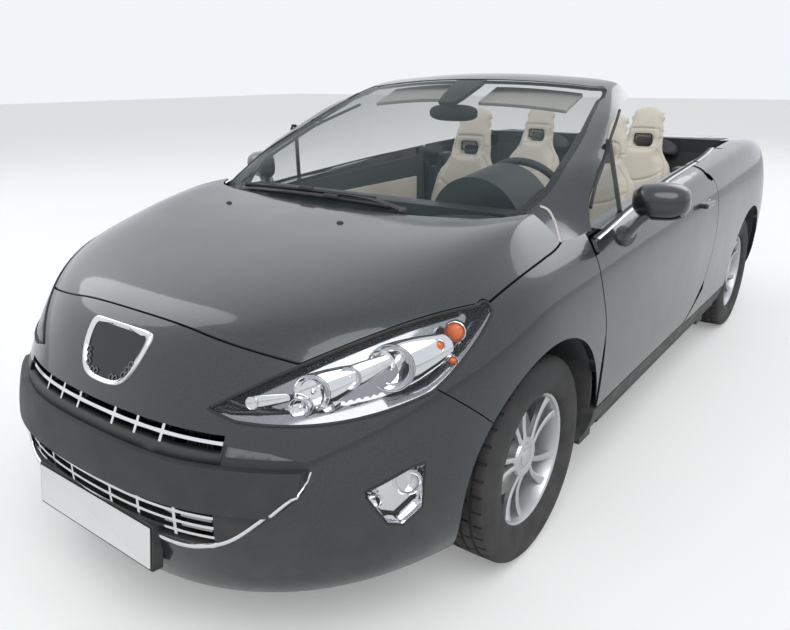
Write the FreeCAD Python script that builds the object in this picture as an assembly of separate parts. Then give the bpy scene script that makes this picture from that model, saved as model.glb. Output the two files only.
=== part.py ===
import FreeCAD, Part
import math
import os

V = FreeCAD.Vector

# A four-seat convertible car with its roof folded away, in millimetres.
# +X is the car's left side, the front faces -Y, +Z is up, and the ground is z = 0.

os.makedirs("parts", exist_ok=True)

# Overall sizes
length = 4400.0
width = 1817.0
height = 1426.0
wheelbase = 2605.0
track = 1532.0
front_axle = -1265.0

# Wheels, tyres and brakes
tyre_radius = 321.5
tyre_width = 215.0
rim_radius = 219.0
rim_width = 178.0
bead_radius = 203.0
hub_radius = 66.0
spoke_pairs = 5
disc_radius = 142.0
disc_thickness = 24.0
stub_radius = 24.0
kingpin_low_x = 700.0
kingpin_low_z = 190.0
kingpin_top_x = 585.0
kingpin_top_z = 780.0

# Panels, gaps and clearances
skin = 22.0
shut = 5.0
seat = 0.3
arch_radius = 386.0
arch_wall = 12.0
arch_inside = 462.0
door_front = -860.0
door_rear = 520.0
door_bottom = 345.0
door_gap = 6.5
door_step = 25.0
step_x = 868.0
hinge_x = 875.0
hinge_back = 85.0
flange = 10.0
pin_radius = 7.0
floor_under = 190.0
floor_plate = 30.0
cabin_half = 700.0
cabin_front = -950.0
bonnet_rear = -1156.0
boot_length = 700.0
deck_gap = 9.0

# Glass, frame and seats
glass = 6.0
frame_wall = 26.0
seat_x = 370.0
seat_y = 170.0
column_x = 370.0
wheel_size = 186.0

nose = -length / 2
tail = length / 2
half = width / 2
rear_axle = front_axle + wheelbase
wheel_x = track / 2
door_inner = cabin_half + 52
boot_front = tail - boot_length
cabin_back = boot_front - 210

# Rings of the body surface, from the underside to the cabin opening.
# front_in and rear_in are set in from the nose and the tail, side_in from half the width,
# z is the height at the front centre, at the side by the front axle, the doors and the
# rear axle, and at the rear centre, and the last two columns round the plan's corners.
RINGS = (
    # name      front_in z_nose side_in z_front z_door z_back rear_in z_tail round_f round_r
    ("under", 120, 170, 168, 170, 170, 170, 340, 170, 2.6, 3.2),
    ("lip", 50, 185, 63, 215, 225, 225, 140, 235, 2.6, 3.4),
    ("sill", 20, 280, 23, 310, 320, 320, 32, 340, 2.6, 3.6),
    ("bar", 18, 480, 8, 490, 500, 500, 0, 520, 2.55, 3.8),
    ("waist", 72, 625, 0, 665, 680, 700, 35, 700, 2.5, 3.8),
    ("lamp", 130, 735, 9, 780, 820, 870, 75, 860, 2.4, 3.6),
    ("belt", 195, 815, 38, 870, 925, 990, 105, 985, 2.3, 3.4),
    ("edge", 310, 868, 88, 925, 985, 1050, 180, 1022, 2.25, 3.2),
    ("deck", 620, 932, 160, 985, 1005, 1062, 400, 1040, 2.3, 3.0),
    ("opening", 1050, 985, 215, 1015, 1010, 1060, 720, 1052, 2.6, 3.0),
)
corner_front = front_axle + 115
corner_rear = rear_axle - 90
quarter_steps = 7
side_steps = 5


def box(x0, x1, y0, y1, z0, z1):
    return Part.makeBox(x1 - x0, y1 - y0, z1 - z0, V(x0, y0, z0))


def prism_x(points, x0, x1):
    """A prism along X from (y, z) points."""
    outline = [V(x0, y, z) for y, z in points]
    face = Part.Face(Part.makePolygon(outline + outline[:1]))
    return face.extrude(V(x1 - x0, 0, 0))


def prism_y(points, y0, y1):
    """A prism along Y from (x, z) points."""
    outline = [V(x, y0, z) for x, z in points]
    face = Part.Face(Part.makePolygon(outline + outline[:1]))
    return face.extrude(V(0, y1 - y0, 0))


def prism_z(points, z0, z1):
    """A prism along Z from (x, y) points."""
    outline = [V(x, y, z0) for x, y in points]
    face = Part.Face(Part.makePolygon(outline + outline[:1]))
    return face.extrude(V(0, 0, z1 - z0))


def disc_x(x0, x1, y, z, radius):
    return Part.makeCylinder(radius, x1 - x0, V(x0, y, z), V(1, 0, 0))


def mirrored(shape):
    return shape.mirror(V(0, 0, 0), V(1, 0, 0))


def fused(*shapes):
    whole = shapes[0]
    for other in shapes[1:]:
        whole = whole.fuse(other)
    return whole.removeSplitter()


def describe(solid):
    box_of = solid.optimalBoundingBox(False, False)
    ends = (box_of.XMin, box_of.XMax, box_of.YMin, box_of.YMax, box_of.ZMin, box_of.ZMax)
    return [round(value) for value in ends]


def save(name, shape):
    solids = shape.Solids
    if len(solids) != 1 or not shape.isValid():
        print(name, len(solids), "solids", shape.isValid(), [describe(solid) for solid in solids])
    shape = solids[0] if len(solids) == 1 else Part.makeCompound(solids)
    shape.exportStep("parts/" + name + ".step")


def save_pair(name, left):
    save(name + "_l", left)
    save(name + "_r", mirrored(left))


# Body surface
def ring_points(ring, inset=0.0, drop=0.0):
    """Points round one ring, from the rear centre by the right side to the front and back."""
    name, front_in, z_nose, side_in, z_front, z_door, z_back, rear_in, z_tail, round_f, round_r = ring
    y_nose = nose + front_in + inset
    y_tail = tail - rear_in - inset
    x_side = half - side_in - inset
    y_front = max(corner_front, y_nose + 350)
    y_back = min(corner_rear, y_tail - 250)
    points = []
    for step in range(quarter_steps):
        angle = math.pi / 2 * step / quarter_steps
        x = x_side * math.sin(angle) ** (2 / round_f)
        y = y_front - (y_front - y_nose) * math.cos(angle) ** (2 / round_f)
        z = z_nose + (z_front - z_nose) * math.sin(angle) ** 2
        points.append((x, y, z - drop))
    for step in range(side_steps + 1):
        part = step / side_steps
        y = y_front + (y_back - y_front) * part
        z = z_front * (1 - part) * (1 - 2 * part) + 4 * z_door * part * (1 - part)
        z += z_back * part * (2 * part - 1)
        points.append((x_side, y, z - drop))
    for step in range(quarter_steps - 1, -1, -1):
        angle = math.pi / 2 * step / quarter_steps
        x = x_side * math.sin(angle) ** (2 / round_r)
        y = y_back + (y_tail - y_back) * math.cos(angle) ** (2 / round_r)
        z = z_tail + (z_back - z_tail) * math.sin(angle) ** 2
        points.append((x, y, z - drop))
    right = [V(-x, y, z) for x, y, z in reversed(points)]
    left = [V(x, y, z) for x, y, z in points[1:]]
    return right + left


def chord_parameters(points):
    """Parameters from 0 to 1 that follow the square roots of the chords."""
    total = [0.0]
    for before, after in zip(points, points[1:]):
        total.append(total[-1] + math.sqrt(before.distanceToPoint(after)))
    return [value / total[-1] for value in total]


def interpolated(points, parameters):
    curve = Part.BSplineCurve()
    curve.interpolate(Points=points, Parameters=parameters)
    return curve


def surface_through(rows, guide_column):
    """One surface through rows of points, which share the fifth row's spacing and one column's."""
    along = chord_parameters(rows[4])
    across = chord_parameters([row[guide_column] for row in rows])
    curves = [interpolated(row, along) for row in rows]
    columns = zip(*[curve.getPoles() for curve in curves])
    lifts = [interpolated(list(column), across) for column in columns]
    poles = [list(row) for row in zip(*[lift.getPoles() for lift in lifts])]
    surface = Part.BSplineSurface()
    surface.buildFromPolesMultsKnots(
        poles, lifts[0].getMultiplicities(), curves[0].getMultiplicities(),
        lifts[0].getKnots(), curves[0].getKnots(), False, False, 3, 3)
    return surface


def solid_of(faces):
    shell = Part.makeShell(faces)
    shell.sewShape()
    solid = Part.makeSolid(shell)
    if solid.Volume < 0:
        solid.reverse()
    return solid


def envelope(insets):
    """The closed body volume through the rings, each inset and dropped by its pair."""
    rows = [ring_points(ring, inset, drop) for ring, (inset, drop) in zip(RINGS, insets)]
    surface = surface_through(rows, len(rows[0]) // 4)
    sides = []
    for start, end in ((0.0, 0.5), (0.5, 1.0)):
        side = surface.copy()
        side.segment(0.0, 1.0, start, end)
        sides.append(side)
    faces = [side.toShape() for side in sides]
    for end in (0.0, 1.0):
        right = sides[0].uIso(end)
        left = sides[1].uIso(end)
        left.reverse()
        faces.append(Part.makeRuledSurface(right.toShape(), left.toShape()))
    return solid_of(faces)


# Body volumes: the outside, the inside of the panels, and the structure seated within
def inset_pairs(depth):
    """How far each ring moves in and down for a wall of one depth."""
    moves = {"under": (1.0, 2.0), "belt": (0.8, 0.5), "edge": (0.4, 0.9), "deck": (0.0, 1.0),
             "opening": (0.0, 1.0)}
    pairs = []
    for ring in RINGS:
        inward, down = moves.get(ring[0], (1.0, 0.0))
        pairs.append((inward * depth, down * depth))
    return pairs


outer = envelope(inset_pairs(0))
inner = envelope(inset_pairs(skin))
core = envelope(inset_pairs(skin + seat))
shell = outer.cut(inner)


# Shared outlines
def smooth_face(runs, place):
    """A face from runs of points: two points make a line and three make an arc."""
    edges = []
    for run in runs:
        points = [place(a, b) for a, b in run]
        if len(points) == 2:
            edges.append(Part.makeLine(*points))
        else:
            edges.append(Part.Arc(*points).toShape())
    return Part.Face(Part.Wire(edges))


def grown(face, by):
    return face.makeOffset2D(by) if by else face


def swept(face, along):
    """The solid that a face leaves behind it, the right way out."""
    solid = face.extrude(along)
    if solid.Volume < 0:
        solid.reverse()
    return solid


# Door: its outline seen from the side (y, z), from the foot of its front edge upwards
def door_prism(by=0.0):
    front, rear, foot = door_front, door_rear, door_bottom
    runs = (
        ((front, foot), (front, foot + 135)),
        ((front, foot + 135), (front - 16, foot + 261), (front - 51, foot + 379)),
        ((front - 51, foot + 379), (front - 68, foot + 485), (front - 60, foot + 550)),
        ((front - 60, foot + 550), (front - 25, foot + 595), (front + 30, foot + 627)),
        ((front + 30, foot + 627), (front + 80, foot + 640)),
        ((front + 80, foot + 640), (front + 80, foot + 900)),
        ((front + 80, foot + 900), (rear - 80, foot + 900)),
        ((rear - 80, foot + 900), (rear - 80, foot + 640)),
        ((rear - 80, foot + 640), (rear - 20, foot + 600), (rear, foot + 540)),
        ((rear, foot + 540), (rear - 5, foot + 375)),
        ((rear - 5, foot + 375), (rear - 25, foot + 257), (rear - 79, foot + 146)),
        ((rear - 79, foot + 146), (rear - 190, foot + 70), (rear - 320, foot)),
        ((rear - 320, foot), (front, foot)),
    )
    face = smooth_face(runs, lambda a, b: V(door_inner - 100, a, b))
    return swept(grown(face, by), V(400, 0, 0))


# Headlamp: its outline seen from lamp_turn degrees off straight ahead.
lamp_turn = 50.0
lamp_x = 403.0
lamp_y = nose + 114.0
lamp_z = 675.0
# Along the lamp from its inner tip, and up from it, as runs round the outline
LAMP_RUNS = (
    ((0, 0), (230, 107), (465, 175)),
    ((465, 175), (571, 191), (680, 197)),
    ((680, 197), (713, 191), (706, 166)),
    ((706, 166), (610, 84), (526, 29)),
    ((526, 29), (297, -13), (60, -19)),
    ((60, -19), (0, 0)),
)


def lamp_prism(by=0.0):
    turn = math.radians(lamp_turn)
    right = V(math.cos(turn), math.sin(turn), 0)
    ahead = V(-math.sin(turn), math.cos(turn), 0)
    start = V(lamp_x, lamp_y, lamp_z) - ahead * 700
    face = smooth_face(LAMP_RUNS, lambda a, b: start + right * a + V(0, 0, b))
    return swept(grown(face, by), ahead * 1300)


# Bonnet: its outline in plan, half of it, from the nose round to the rear edge
BONNET_RUNS = (
    ((250, 6), (406, 25), (553, 72)),
    ((553, 72), (740, 240)),
    ((740, 240), (806, 462)),
    ((806, 462), (818, 680), (814, 800)),
    ((814, 800), (811, 860), (802, 926)),
    ((802, 926), (748, 938), (690, 940)),
    ((690, 940), (664, 897), (630, 863)),
    ((630, 863), (575, 849), (501, 842)),
)


def bonnet_prism(by=0.0):
    front = nose + 218
    stretch = (bonnet_rear - front) / 826.0
    half_runs = [[(x, front + y * stretch) for x, y in run] for run in BONNET_RUNS]
    other_runs = [[(-x, y) for x, y in reversed(run)] for run in reversed(half_runs)]
    last = half_runs[-1][-1]
    runs = [(other_runs[-1][-1], (0, front), half_runs[0][0]), *half_runs,
            (last, (0, bonnet_rear), (-last[0], last[1])), *other_runs]
    face = smooth_face(runs, lambda a, b: V(a, b, 640))
    return swept(grown(face, by), V(0, 0, 560))


def arch(y, radius, x0=300.0, x1=1000.0):
    return disc_x(x0, x1, y, tyre_radius, radius)


lamp_tool = lamp_prism()
lamp_hole = lamp_prism(seat)
lamp_pair_hole = lamp_hole.fuse(mirrored(lamp_hole))
lamp_clear = lamp_prism(shut)
bonnet_tool = bonnet_prism()
bonnet_hole = bonnet_prism(shut)
joint_y = nose + 480


def nose_region(by):
    """What lies ahead of the wing's joint line, moved back by a gap."""
    points = [(joint_y + by, 1300), (joint_y + by, 712), (joint_y + 130 + by, 600),
              (joint_y + 220 + by, 520), (joint_y + 220 + by, 60), (nose - 200, 60), (nose - 200, 1300)]
    return prism_x(points, -1200, 1200)


# Bonnet and its gooseneck hinge arms, which pass under the windscreen frame's foot
bonnet_pivot_y = cabin_front - 12
bonnet_pivot_z = 982.0
bonnet_pivot_x = cabin_half + 14
arm_half = 6.0
bonnet_skin = shell.common(bonnet_tool).cut(lamp_clear).cut(mirrored(lamp_clear))
half_skin = envelope(inset_pairs(skin / 2))
edge_thin = envelope(inset_pairs(5))
corner_under = edge_thin.common(box(600, 900, bonnet_pivot_y - 110, bonnet_pivot_y, 900, 1100))
bonnet_skin = bonnet_skin.cut(corner_under).cut(mirrored(corner_under))
# Along the arm from the pin, ahead and up
ARM = ((11, -4), (-9, -8), (-30, -50), (-62, -58), (-98, -44), (-112, -20), (-112, 60), (-150, 60),
       (-150, -30), (-128, -62), (-66, -74), (-16, -70), (8, -20))


def bonnet_arm(x):
    points = [(bonnet_pivot_y + y, bonnet_pivot_z + z) for y, z in ARM]
    hole = disc_x(x - 20, x + 20, bonnet_pivot_y, bonnet_pivot_z, pin_radius + seat)
    eye = disc_x(x - arm_half, x + arm_half, bonnet_pivot_y, bonnet_pivot_z, 13)
    return prism_x(points, x - arm_half, x + arm_half).common(half_skin).fuse(eye).cut(hole)


bonnet = bonnet_skin
for side in (1, -1):
    bonnet = bonnet.fuse(bonnet_arm(side * bonnet_pivot_x))
save("bonnet", bonnet)

# Headlamps: a clear-fronted unit that fills its opening
lamp_depth = envelope(inset_pairs(150))
LAMP_ROOM = ((340, nose - 50), (1000, nose - 50), (1000, nose + 780), (700, nose + 780), (340, nose + 260))
lamp_room = prism_z(LAMP_ROOM, lamp_z - 100, lamp_z + 250)
save_pair("headlamp", outer.cut(lamp_depth).common(lamp_tool).common(lamp_room))

# Front bumper with its openings
bar_top = 560.0
bar_bottom = 446.0
bar_half = 621.0
lower_half = 431.0
lower_bottom = 350.0
slot_bottom = 580.0
slot_top = 624.0
slot_half = 436.0
bar_out_by = 18.0

# Half of the black moulding's outline from ahead (x, z): bar, pad beside the slot, and the grille's corner
MOULDING = ((0, 560), (300, 557), (slot_half + 4, 560), (slot_half + 4, 602), (540, 594), (bar_half, 572),
            (625, 540), (617, 505), (585, 463), (530, 415), (470, 372), (lower_half + 4, 346), (0, 342))


def moulding_prism(by=0.0):
    outline = MOULDING + tuple((-x, z) for x, z in reversed(MOULDING) if x)
    points = [V(x, nose - 100, z) for x, z in outline]
    face = Part.Face(Part.makePolygon(points + points[:1]))
    return swept(grown(face, by), V(0, 620, 0))


def bumper_opening(x_half, z0, z1):
    return box(-x_half, x_half, nose - 100, nose + 420, z0, z1)


FOG_RUNS = ((0, 0), (-60, 44), (-62, 60), (55, 100), (96, 103), (88, -20), (34, -56), (-8, -40))
fog_x = 756.0
fog_y = -1850.0
fog_z = 430.0


def fog_prism(by=0.0):
    turn = math.radians(55)
    right = V(math.cos(turn), math.sin(turn), 0)
    ahead = V(-math.sin(turn), math.cos(turn), 0)
    start = V(fog_x, fog_y, fog_z) - ahead * 300
    points = [start + right * a + V(0, 0, b) for a, b in FOG_RUNS[1:]]
    face = Part.Face(Part.makePolygon(points + points[:1]))
    return swept(grown(face, by), ahead * 600)


bumper = shell.common(nose_region(0)).cut(bonnet_hole).cut(lamp_pair_hole)
bumper = bumper.cut(moulding_prism()).cut(bumper_opening(slot_half, slot_bottom, slot_top))
bumper = bumper.cut(arch(front_axle, arch_radius, -1000, 1000))
fog_hole = fog_prism()
bumper = bumper.cut(fog_hole).cut(mirrored(fog_hole))
BADGE = ((-112, 796), (112, 796), (126, 770), (104, 712), (62, 682), (0, 664), (-62, 682), (-104, 712),
         (-126, 770))
badge_middle = 735.0


def badge_prism(growth=1.0):
    """The badge's shield outline on the nose, larger or smaller about its middle."""
    outline = [(x * growth, badge_middle + (z - badge_middle) * growth) for x, z in BADGE]
    return prism_y(outline, nose - 100, nose + 300)


bumper = bumper.cut(badge_prism(1.005))
save("front_bumper", bumper)

# Bumper moulding: a bar standing out from the bumper, its pads and the lower grille's frame
bar_out = envelope([(-bar_out_by, 0)] * len(RINGS))
bar_zone = box(-bar_half + seat, bar_half - seat, nose - 100, nose + 420, bar_bottom + 4, bar_top)
moulding = outer.fuse(bar_out.common(bar_zone)).cut(inner).common(moulding_prism(-seat))
moulding = moulding.cut(bumper_opening(lower_half, lower_bottom, bar_bottom))
save("bumper_bar", moulding)

# Grilles: slats and uprights set back in the openings
def slats(heights, x_half, z0, z1, uprights):
    back = envelope(inset_pairs(skin - 1))
    front = envelope(inset_pairs(4))
    wall = front.cut(back)
    pieces = []
    for z in heights:
        pieces.append(box(-x_half, x_half, nose - 100, nose + 420, z - 5, z + 5))
    for x in uprights:
        for side in (1, -1):
            pieces.append(box(side * x - 5, side * x + 5, nose - 100, nose + 420, z0, z1))
    bars = pieces[0]
    for piece in pieces[1:]:
        bars = bars.fuse(piece)
    return wall.common(bars)


lower_grille = slats((368, 395, 422), lower_half - seat, lower_bottom + seat, bar_bottom - seat,
                     (90, 200, 320))
save("grille_lower", lower_grille)
save("grille_upper", slats((604,), slot_half - seat, slot_bottom + seat, slot_top - seat, (80, 170, 260)))

# Badge: a plain shield ring on the nose
badge = shell.common(badge_prism()).cut(badge_prism(0.86).cut(envelope(inset_pairs(10))))

# Fog lamps
fog_body = outer.cut(envelope(inset_pairs(60))).common(fog_prism(-1))
save_pair("fog_lamp", fog_body)

# Front wings
door_opening = door_prism(door_gap)
FOOT = ((600, -210), (660, -70), (802.5, -118), (812, 0), (812, 140), (600, 140))
foot_bottom = 925.0


def foot_region(by=0.0):
    """What the windscreen frame's foot takes from the wing's rear top corner."""
    return prism_z([(x + by, cabin_front + y) for x, y in FOOT], foot_bottom - by, 1200)


wing = shell.common(box(0, 1000, joint_y - 80, door_front + 120, 300, 1200))
wing = wing.cut(nose_region(shut)).cut(bonnet_hole)
wing = wing.cut(lamp_hole).cut(arch(front_axle, arch_radius)).cut(door_opening)
wing = wing.cut(box(0, 1000, door_front - 20, -400, 100, 940)).cut(box(0, 740, -1300, -700, 800, 1200))
wing = wing.cut(box(0, 1000, front_axle + 115, -400, 100, door_bottom)).cut(foot_region(seat))
wing = wing.cut(box(0, 1000, -885, -400, 100, 1200)).cut(door_prism(60).common(edge_thin))
save_pair("wing", wing)
save("badge_plate", badge)


# Doors: a thick box behind a thin front flange, with hinge leaves and the outside skin
hinge_y = door_front + hinge_back
hinge_heights = (430.0, 735.0)
leaf_height = 60.0
door_box_y = hinge_y + 25
flange_wall = envelope(inset_pairs(flange))
door_outer = outer.common(door_prism()).common(box(step_x, 1000, -2000, 2000, 0, 1300))
door_core = outer.common(door_prism(-door_step)).common(box(door_inner, step_x, -2000, 2000, 0, 1300))
door = door_outer.fuse(door_core)
hinge_space = box(door_inner - 10, 1000, door_front - 100, door_box_y, 0, 1200).common(flange_wall)
door = door.cut(hinge_space)
for z in hinge_heights:
    leaf = box(hinge_x - 13, hinge_x + 13, hinge_y - 13, door_box_y + 5, z, z + leaf_height)
    bore = Part.makeCylinder(pin_radius + seat, 3 * leaf_height, V(hinge_x, hinge_y, z - leaf_height))
    door = door.fuse(leaf.common(flange_wall)).cut(bore)
handle = box(half - 60, half + 16, 215, 345, 862, 884)
handle = handle.makeFillet(7, handle.Edges)
door = door.fuse(handle.cut(inner))
pocket = box(door_inner - 5, door_inner + 40, -700, 250, 430, 560)
WAIST = ((-1100, 897), (-863, 921), (-550, 952), (55, 996), (504, 1021), (760, 1034), (990, 1046))


def above_waist(by=0.0, start=0, end=len(WAIST)):
    """What lies above the chrome waist line, seen from the side."""
    line = [(y, z + by) for y, z in WAIST[start:end]]
    return prism_x(line + [(line[-1][0], 1400), (line[0][0], 1400)], 0, 1000)


door = door.cut(pocket).cut(above_waist()).removeSplitter()
save_pair("door", door)

# Door mirrors, swept back on stems from the front corner of each door
mirror_x = 955.0
mirror_y = -600.0
mirror_z = 1016.0
mirror_sweep = 18.0
MIRROR_SECTIONS = (
    # back   half_width half_height
    (-62, 30, 18),
    (-48, 66, 42),
    (-18, 90, 58),
    (22, 96, 62),
)


def mirror():
    wires = []
    for back, half_width, half_height in MIRROR_SECTIONS:
        ring = Part.Ellipse(V(0, 0, 0), half_width, half_height).toShape()
        wire = Part.Wire(ring)
        wire.rotate(V(0, 0, 0), V(1, 0, 0), 90)
        wire.translate(V(0, back, 0))
        wire.rotate(V(0, 0, 0), V(0, 0, 1), mirror_sweep)
        wire.translate(V(mirror_x, mirror_y, mirror_z))
        wires.append(wire)
    housing = Part.makeLoft(wires, True)
    stem = prism_y(((870, 830), (893, 822), (925, 968), (905, 1000), (880, 985), (866, 915)),
                   mirror_y - 75, mirror_y - 15)
    return housing.fuse(stem).cut(outer)


save_pair("mirror", mirror())

# Windscreen: one surface through rows of points from the foot to the header's rear edge
# height and place at the centre, then x, y, z at the glass's edge, on the pillar and beyond its rear edge
SCREEN_ROWS = (
    # centre        glass edge          pillar             beyond
    ((-1175, 963), (652, -1085, 990), (800, -1075, 944), (846, -1085, 886)),
    ((-1125, 990), (664, -1030, 1018), (800, -1000, 948), (848, -1000, 892)),
    ((-1050, 1030), (676, -965, 1047), (800, -915, 955), (848, -890, 902)),
    ((-960, 1076), (685, -880, 1087), (793, -820, 1018), (832, -770, 966)),
    ((-850, 1131), (686, -785, 1131), (776, -725, 1106), (806, -660, 1062)),
    ((-730, 1190), (673, -680, 1175), (752, -620, 1168), (780, -520, 1135)),
    ((-600, 1254), (655, -560, 1226), (724, -505, 1228), (750, -400, 1202)),
    ((-470, 1314), (634, -435, 1280), (697, -385, 1281), (718, -280, 1256)),
    ((-350, 1366), (608, -315, 1326), (668, -275, 1318), (688, -170, 1294)),
    ((-240, 1406), (582, -215, 1362), (640, -180, 1348), (658, -90, 1326)),
    ((-130, 1424), (560, -120, 1388), (612, -100, 1373), (630, -20, 1352)),
    ((-30, 1424), (545, -30, 1396), (596, -20, 1382), (612, 50, 1362)),
)
# Glass outline from ahead (x, z), half of it, from the base's middle up to the header's middle
GLASS_RUNS = (
    ((0, 940), (500, 940), (640, 990)),
    ((640, 990), (690, 1070), (686, 1117)),
    ((686, 1117), (658, 1218), (612, 1318)),
    ((612, 1318), (594, 1358), (545, 1371)),
    ((545, 1371), (290, 1394), (0, 1402)),
)
# Side outline of the frame (y, z), from the foot's front round its rear edge to the header
FRAME_SIDE = ((-1200, 900.3), (-930, 900.3), (-915, 930), (-866, 930), (-855, 962), (-839, 990), (-802, 1050),
              (-723, 1115), (-599, 1179), (-472, 1248), (-317, 1303), (-215, 1322), (-169, 1329),
              (-146, 1342),
              (-128, 1368), (-90, 1400), (-70, 1500), (-1400, 1500), (-1400, 960))


def screen_surface(depth):
    """The windscreen's surface moved inwards by a depth."""
    rows = []
    for (centre_y, centre_z), edge, pillar, beyond in SCREEN_ROWS:
        down, back = 0.9 * depth, 0.43 * depth
        middle_x = edge[0] * 0.5
        middle_y = centre_y * 0.72 + edge[1] * 0.28
        middle_z = centre_z * 0.72 + edge[2] * 0.28
        half_row = [(0.0, centre_y + back, centre_z - down), (middle_x, middle_y + back, middle_z - down),
                    (edge[0] - 0.2 * depth, edge[1] + back, edge[2] - down),
                    (pillar[0] - 0.8 * depth, pillar[1] + 0.4 * depth, pillar[2] - 0.5 * depth),
                    (beyond[0] - depth, beyond[1], beyond[2])]
        row = [V(-x, y, z) for x, y, z in reversed(half_row[1:])] + [V(*point) for point in half_row]
        rows.append(row)
    return surface_through(rows, 4)


def screen_layer(depth, wall):
    """The wall between two depths under the windscreen's surface."""
    front = screen_surface(depth)
    back = screen_surface(depth + wall)
    faces = [front.toShape(), back.toShape()]
    for end in (0.0, 1.0):
        faces.append(Part.makeRuledSurface(front.uIso(end).toShape(), back.uIso(end).toShape()))
        faces.append(Part.makeRuledSurface(front.vIso(end).toShape(), back.vIso(end).toShape()))
    return solid_of(faces)


def glass_prism(by=0.0):
    other = [[(-x, z) for x, z in reversed(run)] for run in reversed(GLASS_RUNS)]
    face = smooth_face([*GLASS_RUNS, *other], lambda a, b: V(a, -1500, b))
    return swept(grown(face, by), V(0, 1700, 0))


frame_side = prism_x(FRAME_SIDE, -1000, 1000)
above_body = box(-1000, 1000, -1300, 200, foot_bottom, height)
frame_layer = screen_layer(0, frame_wall).common(frame_side).cut(glass_prism()).cut(bonnet_hole)
frame_layer = frame_layer.common(above_body)
beside_foot = box(600, 1000, -1200, -800, 900, 946).cut(foot_region())
hinge_room = box(bonnet_pivot_x - 27, bonnet_pivot_x + 27, bonnet_pivot_y - 22, bonnet_pivot_y + 20,
                 890, bonnet_pivot_z + 19)
arm_room = box(bonnet_pivot_x - 12, bonnet_pivot_x + 12, bonnet_pivot_y - 95, bonnet_pivot_y,
               890, bonnet_pivot_z + 8)
swing_radius = 76.0
before_swing = box(620, 760, bonnet_pivot_y - 120, bonnet_pivot_y - 28, bonnet_pivot_z + 8, 1100)
before_swing = before_swing.cut(disc_x(600, 780, bonnet_pivot_y, bonnet_pivot_z, swing_radius))
for room in (beside_foot, hinge_room, arm_room, before_swing):
    frame_layer = frame_layer.cut(room).cut(mirrored(room))
leg = prism_y(((742, 900 + seat), (784, 900 + seat), (784, 946), (742, 972)),
              bonnet_pivot_y - 62, bonnet_pivot_y - 25)
frame = frame_layer.fuse(leg).fuse(mirrored(leg))
save("screen_frame", frame)

# Platform: floor, sills, bulkheads, rails, wheel housings and the posts that carry the hinges
post_out = cabin_half + 28
hinge_pins = []
for z in hinge_heights:
    pin = Part.makeCylinder(pin_radius, leaf_height + 40, V(hinge_x, hinge_y, z - 20))
    for lug_z in (z - 20, z + leaf_height + 5):
        lug = prism_z(((hinge_x, hinge_y - 9), (hinge_x, hinge_y + 9), (post_out - 5, hinge_y + 11),
                       (post_out - 5, hinge_y - 45), (820, hinge_y - 30)), lug_z, lug_z + 15)
        pin = pin.fuse(lug).fuse(Part.makeCylinder(9.5, 15, V(hinge_x, hinge_y, lug_z)))
    hinge_pins.append(pin)
post = box(cabin_half, post_out, cabin_front - 20, hinge_y + 16, 170, 880)
for pin in hinge_pins:
    post = post.fuse(pin)

sill_solid = outer.common(box(cabin_half, 1000, cabin_front - 20, rear_axle - 355,
                              100, door_bottom - door_gap))
sill_solid = sill_solid.cut(arch(front_axle, arch_radius)).cut(arch(rear_axle, arch_radius + 20))


def wheel_housing(y, inside, bottom):
    """A half drum round a wheel, with its inner wall, open below."""
    drum = disc_x(inside, 1000, y, tyre_radius, arch_radius + arch_wall)
    hollow = disc_x(inside + arch_wall, 1000, y, tyre_radius, arch_radius)
    housing = drum.cut(hollow).common(box(0, 1000, y - 600, y + 600, bottom, 1000))
    return housing.common(core)


rear_inside = 600.0
pad_y = 780.0
kingpin_low = V(kingpin_low_x, front_axle, kingpin_low_z)
kingpin_top = V(kingpin_top_x, front_axle, kingpin_top_z)
kingpin_axis = kingpin_top - kingpin_low
kingpin_axis.normalize()


def on_kingpin(radius, z0, z1):
    """A cylinder on the steering axis between two heights."""
    slope = kingpin_axis * (1 / kingpin_axis.z)
    start = kingpin_low + slope * (z0 - kingpin_low_z)
    return Part.makeCylinder(radius, (slope * (z1 - z0)).Length, start, kingpin_axis)


tower = on_kingpin(84, 660, kingpin_top_z + 22)
tower_hollow = on_kingpin(76, 600, kingpin_top_z + seat)
step_y = 712.0
floor = box(-cabin_half, cabin_half, cabin_front - 20, step_y, floor_under, floor_under + floor_plate)
tunnel_top = floor_under + 110
tunnel = box(-110, 110, cabin_front - 20, step_y, floor_under, tunnel_top)
tunnel_under = box(-85, 85, cabin_front - 40, step_y - 12, floor_under - 10, floor_under + 80)
firewall = box(-cabin_half, cabin_half, cabin_front - 20, cabin_front, floor_under, 900)
cowl_beam = box(-785, 785, cabin_front - 110, cabin_front, 850, 900)
rail = box(380, arch_inside + 1, nose + 135, cabin_front - 20, 330, 410)
rail = rail.fuse(box(380, 440, nose + 110, nose + 150, 330, 540).common(core))
crash_beam = box(-620, 620, nose, nose + 140, 460, 540).common(core)
rear_rail = box(420, 480, cabin_back - 40, tail - 120, 330, 401)
rear_rail = rear_rail.fuse(box(420, 480, tail - 150, tail - 110, 330, 560).common(core))
rear_beam = box(-640, 640, tail - 130, tail, 460, 560).common(core)
seat_step = box(-cabin_half, cabin_half, step_y - 12, cabin_back, floor_under, 380).cut(
    box(-cabin_half + 12, cabin_half - 12, step_y, cabin_back + 10, 100, 368))
for side in (1, -1):
    x = side * 530
    seat_step = seat_step.fuse(box(x - 45, x - 30 - seat, rear_axle - 450, rear_axle - 390, 230, 370))
    seat_step = seat_step.fuse(box(x + 30 + seat, x + 45, rear_axle - 450, rear_axle - 390, 230, 370))
back_wall = box(-cabin_half, cabin_half, cabin_back, cabin_back + 16, 368, 985)
pad = box(770, 830, -50, 50, 165, 240)
boot_floor = box(-cabin_half, cabin_half, cabin_back, tail - 120, 400, 416).common(core)
platform = floor.fuse(tunnel).cut(tunnel_under)
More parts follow.
